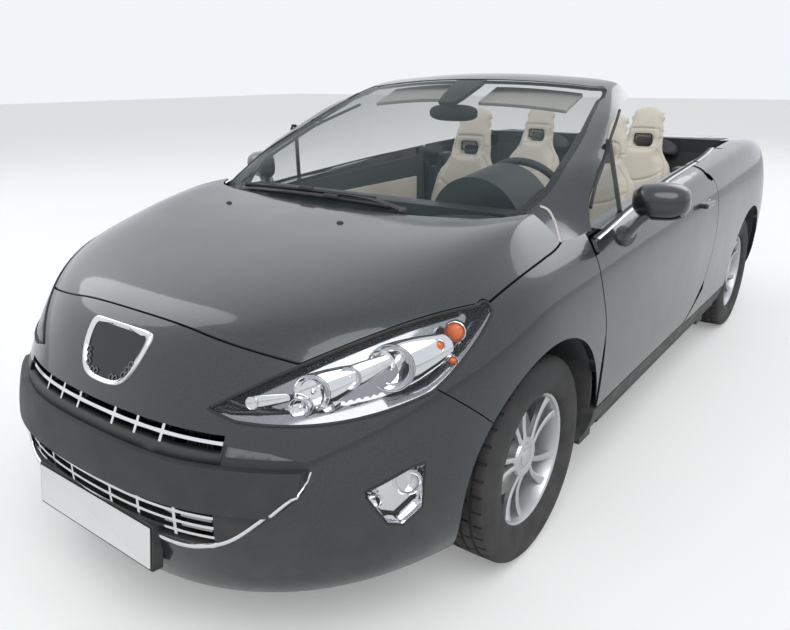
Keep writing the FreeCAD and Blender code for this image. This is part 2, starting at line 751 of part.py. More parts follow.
for piece in (firewall, cowl_beam, crash_beam, rear_beam, seat_step, back_wall, boot_floor):
    platform = platform.fuse(piece)
half_parts = [post, sill_solid, rail, rear_rail, wheel_housing(front_axle, arch_inside, 250),
              wheel_housing(rear_axle, rear_inside, 390)]
b_post = box(cabin_half, door_inner - 7, door_rear + 20, door_rear + 90, door_bottom - 60, 900)
half_parts.append(b_post)
for y in (-pad_y, pad_y):
    half_parts.append(pad.translated(V(0, y, 0)))
for piece in half_parts:
    platform = platform.fuse(piece).fuse(mirrored(piece))
for side in (1, -1):
    x = side * bonnet_pivot_x
    bracket = box(x - 22, x - 8, bonnet_pivot_y - 14, bonnet_pivot_y + 12, 890, bonnet_pivot_z + 12)
    bracket = bracket.fuse(bracket.mirror(V(x, 0, 0), V(1, 0, 0)))
    bracket = bracket.fuse(disc_x(x - 22, x + 22, bonnet_pivot_y, bonnet_pivot_z, pin_radius))
    platform = platform.fuse(bracket)
for y, inside in ((front_axle, arch_inside + arch_wall), (rear_axle, rear_inside + arch_wall)):
    hollow = disc_x(inside, 1000, y, tyre_radius, arch_radius)
    platform = platform.cut(hollow).cut(mirrored(hollow))
for shape in (tower, mirrored(tower)):
    platform = platform.fuse(shape.cut(arch(front_axle, arch_radius, -1000, 1000)))
platform = platform.cut(tower_hollow).cut(mirrored(tower_hollow)).removeSplitter()
split_front = cabin_front - 20
split_rear = step_y - 12
front_zone = box(-1000, 1000, nose, split_front - seat, 0, 850 - seat)
rear_zone = box(-1000, 1000, split_rear + seat, tail, 0, 1300)
middle_zone = box(-1000, 1000, split_front, split_rear, 0, 1300)
middle_zone = middle_zone.fuse(box(-1000, 1000, nose, split_rear, 850, 1300))
save("front_frame", platform.common(front_zone))
save("floor_pan", platform.common(middle_zone))
save("rear_floor", platform.common(rear_zone))

# Rear quarter panels, each as thick as the whole wall
boot_half = 560.0
rear_bumper_line = 735.0
rear_bumper_start = tail - 510
tail_lamp_y = tail - 295
tail_lamp_z = (768.0, 925.0)
quarter_region = prism_x(((door_rear - 75, 1200), (door_rear - 75, door_bottom + 100),
                          (door_rear - 310, door_bottom - door_gap),
                          (rear_axle - 440, door_bottom - door_gap),
                          (boot_front, 300), (tail - 500, 560), (tail + 50, 560), (tail + 50, 1200)), 0, 1000)
quarter_region = quarter_region.cut(door_prism(shut))
wall = outer.common(quarter_region).common(box(cabin_half + 48, 1000, -500, cabin_back, 0, 1200))
skin_back = shell.common(quarter_region).common(box(0, 1000, cabin_back, tail + 50, 0, 1200))
quarter = wall.fuse(skin_back)
for tool in (arch(rear_axle, arch_radius), sill_solid, platform, above_waist(0, 3),
             box(0, 1000, rear_bumper_start, tail + 50, 0, rear_bumper_line + 2),
             box(0, boot_half + shut, boot_front, tail + 50, 0, 1300),
             box(0, cabin_half, -500, boot_front + 1, 0, 1300),
             box(boot_half, 1000, tail_lamp_y, tail + 50, *tail_lamp_z)):
    quarter = quarter.cut(tool)
save_pair("quarter", quarter)

# Tail lamps
tail_depth = envelope(inset_pairs(70))
tail_box = box(boot_half + seat, 1000, tail_lamp_y + seat, tail + 50,
               tail_lamp_z[0] + seat, tail_lamp_z[1] - seat)
save_pair("tail_lamp", outer.cut(tail_depth).common(tail_box))

# Rear bumper
rear_bumper = shell.common(box(-1000, 1000, rear_bumper_start + 10, tail + 50, 150, rear_bumper_line - 2))
rear_bumper = rear_bumper.cut(arch(rear_axle, arch_radius, -1000, 1000))
pipe_start = V(330, tail - 205, 262)
pipe_axis = V(0, 1, -0.12)
pipe_radius = 27.0
rear_bumper = rear_bumper.cut(Part.makeCylinder(pipe_radius + 12, 260, pipe_start, pipe_axis))
save("rear_bumper", rear_bumper)

# Boot lid: front hinged
boot_pivot_y = boot_front - 60
boot_pivot_z = 1028.0
lid_arm_x = 500.0
boot_lid = shell.common(box(-boot_half, boot_half, boot_front, tail + 50, rear_bumper_line + 3, 1300))
for side in (1, -1):
    x = side * lid_arm_x
    arm = box(x - 8, x + 8, boot_pivot_y - 14, boot_front + 100, boot_pivot_z - 18, boot_pivot_z + 8)
    arm = arm.common(outer)
    arm = arm.cut(disc_x(x - 20, x + 20, boot_pivot_y, boot_pivot_z, pin_radius + seat))
    boot_lid = boot_lid.fuse(arm)
save("boot_lid", boot_lid)

# Rear deck: dark plastic behind the rear seats, with the lid's hinge pins
deck_rear = boot_front - deck_gap
deck = outer.common(box(-cabin_half + 2, cabin_half - 2, cabin_back + 16 + seat, deck_rear, 985, 1200))
for side in (1, -1):
    x = side * lid_arm_x
    deck = deck.cut(box(x - 16, x + 16, boot_pivot_y - 30, boot_front, 900, 1200))
    deck = deck.fuse(disc_x(x - 18, x + 18, boot_pivot_y, boot_pivot_z, pin_radius))
save("rear_deck", deck)

# Windscreen glass, flush in the frame
windscreen = screen_layer(1.5, glass).common(glass_prism(-seat)).common(frame_side).cut(bonnet_hole)
windscreen = windscreen.common(box(-900, 900, -1300, -100, 960, 1600))
save("windscreen", windscreen)

# Quarter lights: fixed glass that stands on each door behind the pillar
QUARTERLIGHT = ((-838, 915), (-838, 968), (-790, 1045), (-712, 1106), (-600, 1166), (-586, 1205),
                (-572, 1205), (-520, 935), (-520, 900))
lean = prism_y(((797, 900), (797 + glass, 900), (797 + glass, 935), (747 + glass, 1215), (747, 1215),
                (797, 935)), -900, -500)
quarterlight = prism_x(QUARTERLIGHT, 700, 900).common(lean).common(above_waist(seat))
save_pair("quarterlight", quarterlight)

# Cowl panel below the windscreen
cowl = box(-600, 600, bonnet_rear + 26, cabin_front - 5, 900 + seat, 915)
save("cowl", cowl)

# Dashboard with its instrument hood, the column and the console between the seats
dash_rear = cabin_front + 330
DASH = ((0, 700), (330, 700), (390, 780), (370, 860), (300, 925), (200, 962), (90, 985), (0, 985))
dash = prism_x([(cabin_front + seat + y, z) for y, z in DASH], -cabin_half + 10, cabin_half - 10)
hood_radius = 190.0
hood = Part.makeCylinder(hood_radius, 250, V(column_x, cabin_front + 130, 890), V(0, 1, 0.1))
hood = hood.common(box(-700, 700, cabin_front, -500, 860, 1200))
hood = hood.cut(Part.makeCylinder(hood_radius - 22, 40, V(column_x, cabin_front + 345, 890), V(0, 1, 0.1)))
dash = dash.fuse(hood)
console = prism_x(((cabin_front + 60, 720), (-620, 720), (-560, 600), (-480, 470), (-300, 420), (150, 420),
                   (150, 310), (cabin_front + 60, 310)), -95, 95)
column_axis = V(0, 0.94, 0.34)
column_axis.normalize()
column_foot = V(column_x, -600, 860)
column_length = 190.0
column = Part.makeCylinder(24, column_length, column_foot, column_axis)
dash = dash.fuse(column).fuse(console.common(box(-200, 200, -1000, 300, tunnel_top + seat, 800)))
save("dashboard", dash.removeSplitter())

# Steering wheel
hub_place = column_foot + column_axis * (column_length + seat)
rim_ring = Part.makeTorus(wheel_size, 15, hub_place, column_axis)
boss = Part.makeCylinder(55, 40, hub_place, column_axis)
spoke = Part.makeCylinder(12, wheel_size, hub_place + column_axis * 15, V(1, 0, 0))
wheel = rim_ring.fuse(boss).fuse(spoke).fuse(spoke.mirror(hub_place, V(1, 0, 0)))
save("steering_wheel", wheel)

# Seats: padded cushions and one-piece backs with an opening below the head restraint
# Half of the back's outline from ahead: x and height over the cushion's underside
BACK = ((0, 60), (220, 60), (250, 240), (252, 480), (225, 640), (165, 720), (140, 830), (118, 985),
        (80, 1010), (0, 1012))


def seat_back(x, y, base, top, scale_x=1.0):
    """A leaning back between two heights; y is its face at the base."""
    rise = top - base
    outline = [(a * scale_x, base + (b - 60) * rise / 952) for a, b in BACK]
    outline += [(-a, z) for a, z in reversed(outline[1:-1])]
    front = prism_y([(x + a, z) for a, z in outline], y - 100, y + 500)
    side = prism_x(((y, base), (y + 130, base), (y + 0.24 * rise + 100, top), (y + 0.24 * rise + 20, top),
                    (y + 0.17 * rise, base + 0.72 * rise)), x - 300, x + 300)
    return front.common(side)


def seat_window(x, y, z):
    return box(x - 52, x + 52, y - 200, y + 250, z - 24, z + 24)


cushion_z = floor_under + floor_plate + 60
front_seat = box(seat_x - 255, seat_x + 255, seat_y - 500, seat_y + 60, cushion_z, cushion_z + 150)
front_seat = front_seat.cut(box(seat_x - 170, seat_x + 170, seat_y - 600, seat_y - 20,
                                cushion_z + 120, cushion_z + 300))
front_seat = front_seat.fuse(seat_back(seat_x, seat_y, cushion_z + 60, 1285))
front_seat = front_seat.cut(seat_window(seat_x, seat_y + 150, 1054))
front_seat = front_seat.fuse(box(seat_x - 180, seat_x + 180, seat_y - 440, seat_y,
                                 floor_under + floor_plate, cushion_z + 1))
save_pair("seat_front", front_seat.removeSplitter())
rear_x = 330.0
rear_y = 905.0
rear_seat = box(rear_x - 235, rear_x + 235, rear_y - 170, rear_y + 60, 380, 520)
rear_back = seat_back(rear_x, rear_y, 400, 1275, 0.92)
rear_seat = rear_seat.fuse(rear_back.common(box(0, 1000, 0, cabin_back - seat, 0, 1400)))
rear_seat = rear_seat.cut(seat_window(rear_x, rear_y + 130, 1072))
middle = box(-100, 100, rear_y - 170, rear_y + 60, 380, 500)
middle = middle.fuse(box(-100, 100, rear_y + 40, rear_y + 160, 380, 900))
save("seat_rear", rear_seat.fuse(mirrored(rear_seat)).fuse(middle).removeSplitter())

# Front running gear
subframe = box(-420, 420, front_axle - 40, front_axle + 260, 190, 250)
ball_x = kingpin_low_x
arm = prism_z(((300, front_axle - 40), (ball_x, front_axle - 26), (ball_x, front_axle + 26),
               (300, front_axle + 240)), 166, 186)
arm = arm.fuse(prism_z(((300, front_axle - 40), (400, front_axle - 38), (400, front_axle + 190),
                        (300, front_axle + 240)), 166, 250))
ball = Part.makeCylinder(26, 20, V(ball_x, front_axle, 166)).fuse(Part.makeSphere(13, kingpin_low))
arm = arm.fuse(ball)
subframe = subframe.fuse(arm).fuse(mirrored(arm))
for x in (-410, 410):
    subframe = subframe.fuse(box(x - 25, x + 25, front_axle + 40, front_axle + 120, 240, 330))
save("subframe", subframe.removeSplitter())


def knuckle():
    carrier = disc_x(672, 738, front_axle, tyre_radius, 50)
    upright = prism_y(((672, 330), (738, 330), (722, 420), (668, 500), (668, 530), (612, 530), (618, 440),
                       (640, 380)), front_axle - 28, front_axle + 28)
    lower = prism_y(((672, 330), (738, 330), (722, 205), (676, 205)), front_axle - 22, front_axle + 22)
    tie_arm = box(672, 700, front_axle, front_axle + 150, 300, 322)
    stub = disc_x(700, wheel_x + 36, front_axle, tyre_radius, stub_radius)
    strut = on_kingpin(27, 430, kingpin_top_z)
    whole = fused(carrier, upright, lower, tie_arm, stub, strut)
    whole = whole.cut(Part.makeSphere(13 + seat, kingpin_low))
    return whole.cut(Part.makeCylinder(28, 28, V(ball_x, front_axle, 160)))


save_pair("knuckle", knuckle())


# Twin spokes seen from the side (y, radius): a pair that opens towards the rim, bent one way
SPOKE_PLANS = (
    ((-19, 30), (-27, 90), (-40, 140), (-60, 186), (-54, 200), (-30, 200), (-24, 140), (-10, 90), (-2, 30)),
    ((6, 30), (6, 90), (14, 140), (32, 186), (40, 200), (64, 190), (36, 140), (24, 90), (22, 30)),
)
# The spokes' dish (x from the wheel's middle, radius)
SPOKE_DISH = ((40, 28), (66, 28), (64, 60), (56, 110), (58, 160), (70, 199), (44, 199), (34, 160), (32, 110))


# Wheels
def wheel_shapes(side, y):
    """Tyre, rim and disc at one corner; side is +1 on the left."""
    def turned(points):
        outline = [V(wheel_x + x, 0, r) for x, r in points]
        face = Part.Face(Part.makePolygon(outline + outline[:1]))
        return face.revolve(V(0, 0, 0), V(1, 0, 0), 360)
    t = tyre_width / 2
    tyre = turned(((-80, bead_radius), (80, bead_radius), (t, 262), (t - 6, 290), (88, tyre_radius),
                   (-88, tyre_radius), (6 - t, 290), (-t, 262)))
    b = bead_radius - seat
    barrel = turned(((-rim_width / 2, b), (rim_width / 2, b), (rim_width / 2, 194), (-rim_width / 2, 190)))
    hub = turned(((24, stub_radius + seat), (62, stub_radius + seat), (62, hub_radius), (24, hub_radius)))
    cap = turned(((58, 0.01), (70, 0.01), (70, 30), (58, 30)))
    rim = barrel.fuse(hub).fuse(cap)
    dish = turned(SPOKE_DISH)
    for index in range(spoke_pairs):
        for plan in SPOKE_PLANS:
            bar = prism_x(plan, wheel_x - 20, wheel_x + 120).common(dish)
            bar.rotate(V(0, 0, 0), V(1, 0, 0), 360.0 / spoke_pairs * index)
            rim = rim.fuse(bar)
    disc = turned(((-2, stub_radius + seat), (24, stub_radius + seat), (24, 70), (8, 70), (8, disc_radius),
                   (8 - disc_thickness, disc_radius), (8 - disc_thickness, 60), (-2, 60)))
    rim = rim.fuse(disc)
    shapes = []
    for shape in (tyre, rim.removeSplitter()):
        shape.translate(V(0, y, tyre_radius))
        shapes.append(shape if side > 0 else mirrored(shape))
    return shapes


corners = (("fl", 1, front_axle), ("fr", -1, front_axle), ("rl", 1, rear_axle), ("rr", -1, rear_axle))
for corner, side, y in corners:
    tyre, rim = wheel_shapes(side, y)
    save("tyre_" + corner, tyre)
    save("rim_" + corner, rim)

# Rear axle: a twist beam, trailing arms and stubs
beam = Part.makeCylinder(34, 1080, V(-540, rear_axle - 180, 290), V(1, 0, 0))
axle = beam
for side in (1, -1):
    trail = prism_x(((rear_axle - 420, 240), (rear_axle - 420, 300), (rear_axle + 30, 350),
                     (rear_axle + 30, 290)), 500, 560)
    stub = disc_x(540, wheel_x + 36, rear_axle, tyre_radius, stub_radius)
    piece = trail.fuse(stub)
    axle = axle.fuse(piece if side > 0 else mirrored(piece))
save("rear_axle", axle.removeSplitter())

# Engine, as one plain block, and the exhaust
save("engine", box(-330, 330, -1770, -1290, 250 + seat, 690))
silencer = box(200, 410, tail - 560, tail - 200, 250, 400 - seat)
tail_pipe = Part.makeCylinder(pipe_radius, 186, pipe_start, pipe_axis)
save("exhaust", silencer.fuse(tail_pipe))
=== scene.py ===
import math

import bmesh
import bpy
from mathutils import Matrix, Vector
from mathutils.bvhtree import BVHTree
from mathutils.kdtree import KDTree


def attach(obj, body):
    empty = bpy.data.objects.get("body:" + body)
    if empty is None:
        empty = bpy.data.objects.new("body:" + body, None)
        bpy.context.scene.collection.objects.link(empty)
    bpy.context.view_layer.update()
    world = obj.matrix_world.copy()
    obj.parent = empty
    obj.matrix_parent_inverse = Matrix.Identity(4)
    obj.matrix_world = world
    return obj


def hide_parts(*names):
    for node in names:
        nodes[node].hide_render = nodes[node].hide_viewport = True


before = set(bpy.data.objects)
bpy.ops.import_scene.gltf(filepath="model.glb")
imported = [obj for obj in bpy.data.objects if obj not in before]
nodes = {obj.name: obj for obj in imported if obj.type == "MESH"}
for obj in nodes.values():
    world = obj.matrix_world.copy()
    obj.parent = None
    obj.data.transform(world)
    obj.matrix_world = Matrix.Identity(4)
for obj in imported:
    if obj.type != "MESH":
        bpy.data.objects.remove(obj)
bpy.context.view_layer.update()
scene = bpy.context.scene

# Places that several pieces share, in metres, in the frame's axes
FRONT_AXLE, REAR_AXLE = -1.265, 1.34
WHEEL_X, AXLE_Z = 0.766, 0.3215
SIDES = (("l", 1), ("r", -1))
SAME_POINT = 0.00002  # corners of a new shape that lie closer than this are one
SAME_NODE_POINT = 0.00004  # the same for a carried-over node


def link_object(name, data):
    obj = bpy.data.objects.new(name, data)
    scene.collection.objects.link(obj)
    return obj


# Camera: the photograph's viewpoint, with no shift
CAMERA_PLACE = (1.6315, -3.0027, 1.4242)
CAMERA_ANGLES = (36.653, 18.956, -0.464)  # round the car, above the floor, and roll, in degrees
CAMERA_LENS, CAMERA_SENSOR = 31.96, 36.0  # in millimetres


def add_camera():
    azimuth, elevation, roll = (math.radians(a) for a in CAMERA_ANGLES)
    ahead = Vector((-math.sin(azimuth) * math.cos(elevation), math.cos(azimuth) * math.cos(elevation),
                    -math.sin(elevation)))
    level = ahead.cross(Vector((0, 0, 1))).normalized()
    up = level.cross(ahead)
    right = level * math.cos(roll) + up * math.sin(roll)
    up = up * math.cos(roll) - level * math.sin(roll)
    data = bpy.data.cameras.new("camera")
    data.lens, data.sensor_width = CAMERA_LENS, CAMERA_SENSOR
    scene.camera = link_object("camera", data)
    axes = Matrix((right, up, -ahead)).transposed().to_4x4()
    scene.camera.matrix_world = Matrix.Translation(CAMERA_PLACE) @ axes


add_camera()


# Shader nodes
def add_node(tree, kind, inputs=None, **settings):
    node = tree.nodes.new(kind)
    for key, value in settings.items():
        setattr(node, key, value)
    for key, value in (inputs or {}).items():
        if isinstance(value, bpy.types.NodeSocket):
            tree.links.new(value, node.inputs[key])
        else:
            node.inputs[key].default_value = value
    return node


def object_place(tree):
    return tree.nodes.new("ShaderNodeTexCoord").outputs["Object"]


def calculate(tree, operation, *values):
    return add_node(tree, "ShaderNodeMath", dict(enumerate(values)), operation=operation).outputs[0]


def stretch(tree, value, low, high, new_low=0.0, new_high=1.0):
    """Takes a value from one range to another."""
    return add_node(tree, "ShaderNodeMapRange", {"Value": value, "From Min": low, "From Max": high, "To Min": new_low,
                                                 "To Max": new_high}).outputs["Result"]


def blend(tree, mask, first, second):
    """Mixes two colours by a mask."""
    return add_node(tree, "ShaderNodeMix", {0: mask, 6: first, 7: second}, data_type="RGBA").outputs[2]


def noise(tree, scale, detail):
    return add_node(tree, "ShaderNodeTexNoise", {"Vector": object_place(tree), "Scale": scale,
                                                 "Detail": detail}).outputs["Fac"]


# Shared shader groups: each puts out one colour, mask, value or height
def new_group(name, inputs, output, kind="NodeSocketFloat"):
    """A group with its inputs' first values; a tuple makes a colour."""
    tree = bpy.data.node_groups.new(name, "ShaderNodeTree")
    for label, value in inputs.items():
        given_kind = "NodeSocketColor" if isinstance(value, tuple) else "NodeSocketFloat"
        tree.interface.new_socket(label, in_out="INPUT", socket_type=given_kind).default_value = value
    tree.interface.new_socket(output, in_out="OUTPUT", socket_type=kind)
    return tree, tree.nodes.new("NodeGroupInput").outputs, tree.nodes.new("NodeGroupOutput").inputs[0]


def make_uneven():
    """A value that wanders between Low and High over the surface."""
    tree, given, result = new_group("uneven", {"Scale": 6.0, "Low": 0.3, "High": 0.5}, "Value")
    tree.links.new(stretch(tree, noise(tree, given["Scale"], 5.0), 0.32, 0.68, given["Low"], given["High"]), result)
    return tree


def make_mottle():
    """A colour made a little lighter and darker in patches."""
    tree, given, result = new_group("mottle", {"Color": (0.5, 0.5, 0.5, 1), "Amount": 0.1, "Scale": 8.0}, "Color",
                                    "NodeSocketColor")
    swing = calculate(tree, "SUBTRACT", noise(tree, given["Scale"], 6.0), 0.5)
    swing = calculate(tree, "MULTIPLY_ADD", calculate(tree, "MULTIPLY", swing, given["Amount"]), 4.0, 1.0)
    shade = add_node(tree, "ShaderNodeHueSaturation", {"Color": given["Color"], "Value": swing})
    tree.links.new(shade.outputs["Color"], result)
    return tree


def make_pebbles():
    """Grain of leather or moulded plastic, as a height."""
    tree, given, result = new_group("pebbles", {"Scale": 700.0}, "Height")
    cells = add_node(tree, "ShaderNodeTexVoronoi", {"Vector": object_place(tree), "Scale": given["Scale"]},
                     feature="DISTANCE_TO_EDGE")
    rounded = stretch(tree, cells.outputs["Distance"], 0.0, 0.22)
    tree.links.new(calculate(tree, "MULTIPLY_ADD", noise(tree, given["Scale"], 3.0), 0.35, rounded), result)
    return tree


def make_dust():
    """Road dust: a mask that is stronger near the ground."""
    tree, given, result = new_group("dust", {"Amount": 0.3, "Top": 0.6}, "Mask")
    split = add_node(tree, "ShaderNodeSeparateXYZ", {"Vector": object_place(tree)})
    low = stretch(tree, split.outputs["Z"], 0.1, given["Top"], 1.0, 0.0)
    mask = calculate(tree, "MULTIPLY", low, stretch(tree, noise(tree, 14.0, 8.0), 0.35, 0.75))
    tree.links.new(calculate(tree, "MULTIPLY", mask, given["Amount"]), result)
    return tree


UNEVEN, MOTTLE, PEBBLES, DUST = make_uneven(), make_mottle(), make_pebbles(), make_dust()


def use_group(tree, group, **inputs):
    return add_node(tree, "ShaderNodeGroup", inputs, node_tree=group).outputs[0]


# Finishes
def new_material(name):
    material = bpy.data.materials.new(name)
    material.use_nodes = True
    return material, material.node_tree, material.node_tree.nodes["Principled BSDF"].inputs


def surface(name, color, rough=(0.4, 0.55), shift=0.08, shift_scale=7.0, grain=None, dust=0.0, dust_top=0.6,
            **sockets):
    """A finish with patchy colour and roughness, and grain given as (scale, depth in metres)."""
    material, tree, shader = new_material(name)
    shaded = use_group(tree, MOTTLE, Color=(*color, 1), Amount=shift, Scale=shift_scale)
    roughness = use_group(tree, UNEVEN, Scale=9.0, Low=rough[0], High=rough[1])
    if dust:
        mask = use_group(tree, DUST, Amount=dust, Top=dust_top)
        shaded = blend(tree, mask, shaded, (0.3, 0.27, 0.23, 1))
        roughness = add_node(tree, "ShaderNodeMix", {0: mask, 2: roughness, 3: 0.8}).outputs[0]
    tree.links.new(shaded, shader["Base Color"])
    tree.links.new(roughness, shader["Roughness"])
    if grain:
        height = use_group(tree, PEBBLES, Scale=grain[0])
        bump = add_node(tree, "ShaderNodeBump", {"Height": height, "Distance": grain[1], "Strength": 0.8})
        tree.links.new(bump.outputs["Normal"], shader["Normal"])
    for key, value in sockets.items():
        shader[key.replace("_", " ")].default_value = value
    return material


def make_paint():
    """Dark grey metallic paint: flakes under a clear coat with a slight ripple."""
    material, tree, shader = new_material("body_paint")
    flakes = add_node(tree, "ShaderNodeTexVoronoi", {"Vector": object_place(tree), "Scale": 1400.0})
    colour = blend(tree, stretch(tree, flakes.outputs["Color"], 0.1, 0.9), (0.01, 0.014, 0.016, 1),
                   (0.046, 0.055, 0.06, 1))
    shaded = use_group(tree, MOTTLE, Color=colour, Amount=0.05, Scale=2.0)
    dusty = blend(tree, use_group(tree, DUST, Amount=0.25, Top=0.45), shaded, (0.22, 0.2, 0.17, 1))
    tree.links.new(dusty, shader["Base Color"])
    tree.links.new(use_group(tree, UNEVEN, Scale=4.0, Low=0.3, High=0.38), shader["Roughness"])
    bump = add_node(tree, "ShaderNodeBump", {"Height": noise(tree, 240.0, 1.0), "Distance": 0.0004, "Strength": 0.02})
    tree.links.new(bump.outputs["Normal"], shader["Normal"])
    shader["Metallic"].default_value = 0.65
    shader["Coat Weight"].default_value = 1.0
    shader["Coat Roughness"].default_value = 0.06
    return material


def make_glass(name, color, clear):
    """Clear glass or plastic that lets light into what is behind it; clear is its share of plain sight."""
    material = surface(name, color, (0.0, 0.03), shift=0.02, IOR=1.45)
    tree = material.node_tree
    edge_on = add_node(tree, "ShaderNodeLayerWeight", {"Blend": 0.5}).outputs["Facing"]
    share = stretch(tree, calculate(tree, "POWER", edge_on, 4.0), 0.0, 1.0, 1.0 - clear, 1.0)
    tree.links.new(share, tree.nodes["Principled BSDF"].inputs["Alpha"])
    return material


paint = make_paint()
black_plastic = surface("black_plastic", (0.028, 0.029, 0.031), (0.42, 0.56), grain=(900.0, 0.0002), dust=0.25)
black_gloss = surface("black_gloss", (0.012, 0.012, 0.013), (0.08, 0.16), shift=0.15)
rubber = surface("rubber", (0.022, 0.022, 0.022), (0.55, 0.75), shift=0.2, grain=(400.0, 0.0001))
tyre_rubber = surface("tyre_rubber", (0.03, 0.03, 0.031), (0.62, 0.82), 0.2, 12.0, (500.0, 0.0002), 0.16, 0.8)
chrome = surface("chrome_trim", (0.8, 0.81, 0.82), (0.04, 0.12), shift=0.04, Metallic=1.0)
tray_metal = surface("lamp_tray", (0.36, 0.37, 0.39), (0.06, 0.14), shift=0.1, Metallic=1.0)
mesh_plastic = surface("mesh_plastic", (0.16, 0.165, 0.17), (0.3, 0.42), grain=(900.0, 0.0001))
pad_plastic = surface("pad_plastic", (0.13, 0.135, 0.14), (0.45, 0.58), grain=(900.0, 0.0002))
reflector = surface("reflector", (0.84, 0.85, 0.87), (0.05, 0.1), shift=0.05, Metallic=1.0)
alloy = surface("wheel_alloy", (0.62, 0.63, 0.64), (0.28, 0.4), shift=0.06, dust=0.3, dust_top=0.7, Metallic=0.75,
                Coat_Weight=0.4, Coat_Roughness=0.15)
steel = surface("brake_steel", (0.34, 0.33, 0.32), (0.3, 0.5), 0.3, 30.0, Metallic=1.0)
under_metal = surface("under_metal", (0.045, 0.047, 0.05), (0.5, 0.7), shift=0.2, dust=0.5)
cast_metal = surface("cast_metal", (0.1, 0.1, 0.1), (0.55, 0.75), 0.35, 25.0, (300.0, 0.0004), 0.4, Metallic=0.6)
exhaust_metal = surface("exhaust_metal", (0.33, 0.31, 0.29), (0.3, 0.5), 0.3, 20.0, Metallic=1.0)
leather = surface("cream_leather", (0.73, 0.68, 0.58), (0.42, 0.55), 0.05, 5.0, (520.0, 0.00035), Sheen_Weight=0.08)
thread = surface("seam_thread", (0.5, 0.46, 0.38), (0.6, 0.8), grain=(1500.0, 0.0002))
carpet = surface("carpet", (0.035, 0.035, 0.037), (0.85, 0.95), 0.4, 60.0, (800.0, 0.001), Sheen_Weight=0.15)
dash_skin = surface("dash_skin", (0.03, 0.035, 0.042), (0.42, 0.55), grain=(1400.0, 0.00005))
roof_cloth = surface("visor_cloth", (0.62, 0.6, 0.55), (0.8, 0.9), grain=(900.0, 0.0003), Sheen_Weight=0.1)
window_glass = make_glass("window_glass", (0.05, 0.08, 0.08), 0.92)
lens_glass = make_glass("lamp_clear", (0.25, 0.27, 0.28), 0.94)
amber = surface("amber_lens", (0.9, 0.17, 0.01), (0.08, 0.15), grain=(160.0, 0.0004), Coat_Weight=0.6)
lamp_red = surface("lamp_red", (0.45, 0.012, 0.01), (0.1, 0.18), shift=0.1, Coat_Weight=1.0)
plate_white = surface("plate_white", (0.8, 0.8, 0.79), (0.3, 0.42), shift=0.02, grain=(1200.0, 0.00005))
mirror_glass = surface("mirror_glass", (0.85, 0.87, 0.88), (0.01, 0.03), shift=0.01, Metallic=1.0)


# Carried-over nodes: finishes, and shading that is smooth up to the real edges
def make_edge_shading():
    tree = bpy.data.node_groups.new("edge_shading", "GeometryNodeTree")
    for way in ("INPUT", "OUTPUT"):
        tree.interface.new_socket("Geometry", in_out=way, socket_type="NodeSocketGeometry")
    given = tree.nodes.new("NodeGroupInput").outputs["Geometry"]
    joined = add_node(tree, "GeometryNodeMergeByDistance", {"Geometry": given, "Distance": SAME_NODE_POINT})
    smooth = add_node(tree, "GeometryNodeSetShadeSmooth", {"Geometry": joined.outputs[0], "Shade Smooth": True})
    angle = tree.nodes.new("GeometryNodeInputMeshEdgeAngle").outputs[0]
    sharp = add_node(tree, "FunctionNodeCompare", {0: angle, 1: math.radians(28)}, operation="GREATER_THAN")
    edged = add_node(tree, "GeometryNodeSetShadeSmooth", {
        "Geometry": smooth.outputs[0], "Selection": sharp.outputs[0], "Shade Smooth": False}, domain="EDGE")
    tree.links.new(edged.outputs[0], tree.nodes.new("NodeGroupOutput").inputs["Geometry"])
    return tree


EDGE_SHADING = make_edge_shading()


def dress(material, *names):
    """Gives carried-over nodes their finish; a name that ends in _ stands for its left and right node."""
    for name in names:
        for whole in ((name + "l", name + "r") if name.endswith("_") else (name,)):
            obj = nodes[whole]
            obj.data.materials.clear()
            obj.data.materials.append(material)
            obj.modifiers.new("edges", "NODES").node_group = EDGE_SHADING


dress(paint, "front_bumper", "bonnet", "wing_", "door_", "quarter_", "rear_bumper", "boot_lid", "screen_frame")
dress(under_metal, "front_frame", "floor_pan", "rear_floor")
dress(black_plastic, "bumper_bar", "rear_deck", "cowl")
dress(chrome, "grille_lower", "grille_upper")
dress(window_glass, "windscreen", "quarterlight_")
dress(dash_skin, "dashboard", "steering_wheel")
dress(cast_metal, "knuckle_", "rear_axle", "subframe", "engine")
dress(exhaust_metal, "exhaust")
dress(lamp_red, "tail_lamp_")


# Making pieces
def add_rounding(obj, rounds=1):
    divide = obj.modifiers.new("rounding", "SUBSURF")
    divide.levels = divide.render_levels = rounds


def add_raw(name, bm):
    """Closes a bmesh into an object with outward normals."""
    mesh = bpy.data.meshes.new(name)
    bmesh.ops.recalc_face_normals(bm, faces=bm.faces)
    bm.to_mesh(mesh)
    bm.free()
    return link_object(name, mesh)


def add_piece(name, bm, material, body="body", angle=35, bevel=0.0, rounds=0, wall=0.0, stands_for=None):
    """Closes a bmesh into a piece that rides on a body."""
    obj = add_raw(name, bm)
    obj.data.materials.append(material)
    obj.data.shade_smooth()
    obj.data.set_sharp_from_angle(angle=math.radians(angle))
    if bevel:
        edge = obj.modifiers.new("edge", "BEVEL")
        edge.width = bevel
        edge.segments = 3
        edge.limit_method = "ANGLE"
        edge.angle_limit = math.radians(40)
        edge.harden_normals = False
    if rounds:
        add_rounding(obj, rounds)
    if wall:
        obj.modifiers.new("wall", "SOLIDIFY").thickness = wall
    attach(obj, body)
    if stands_for:
        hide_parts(stands_for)
    return obj


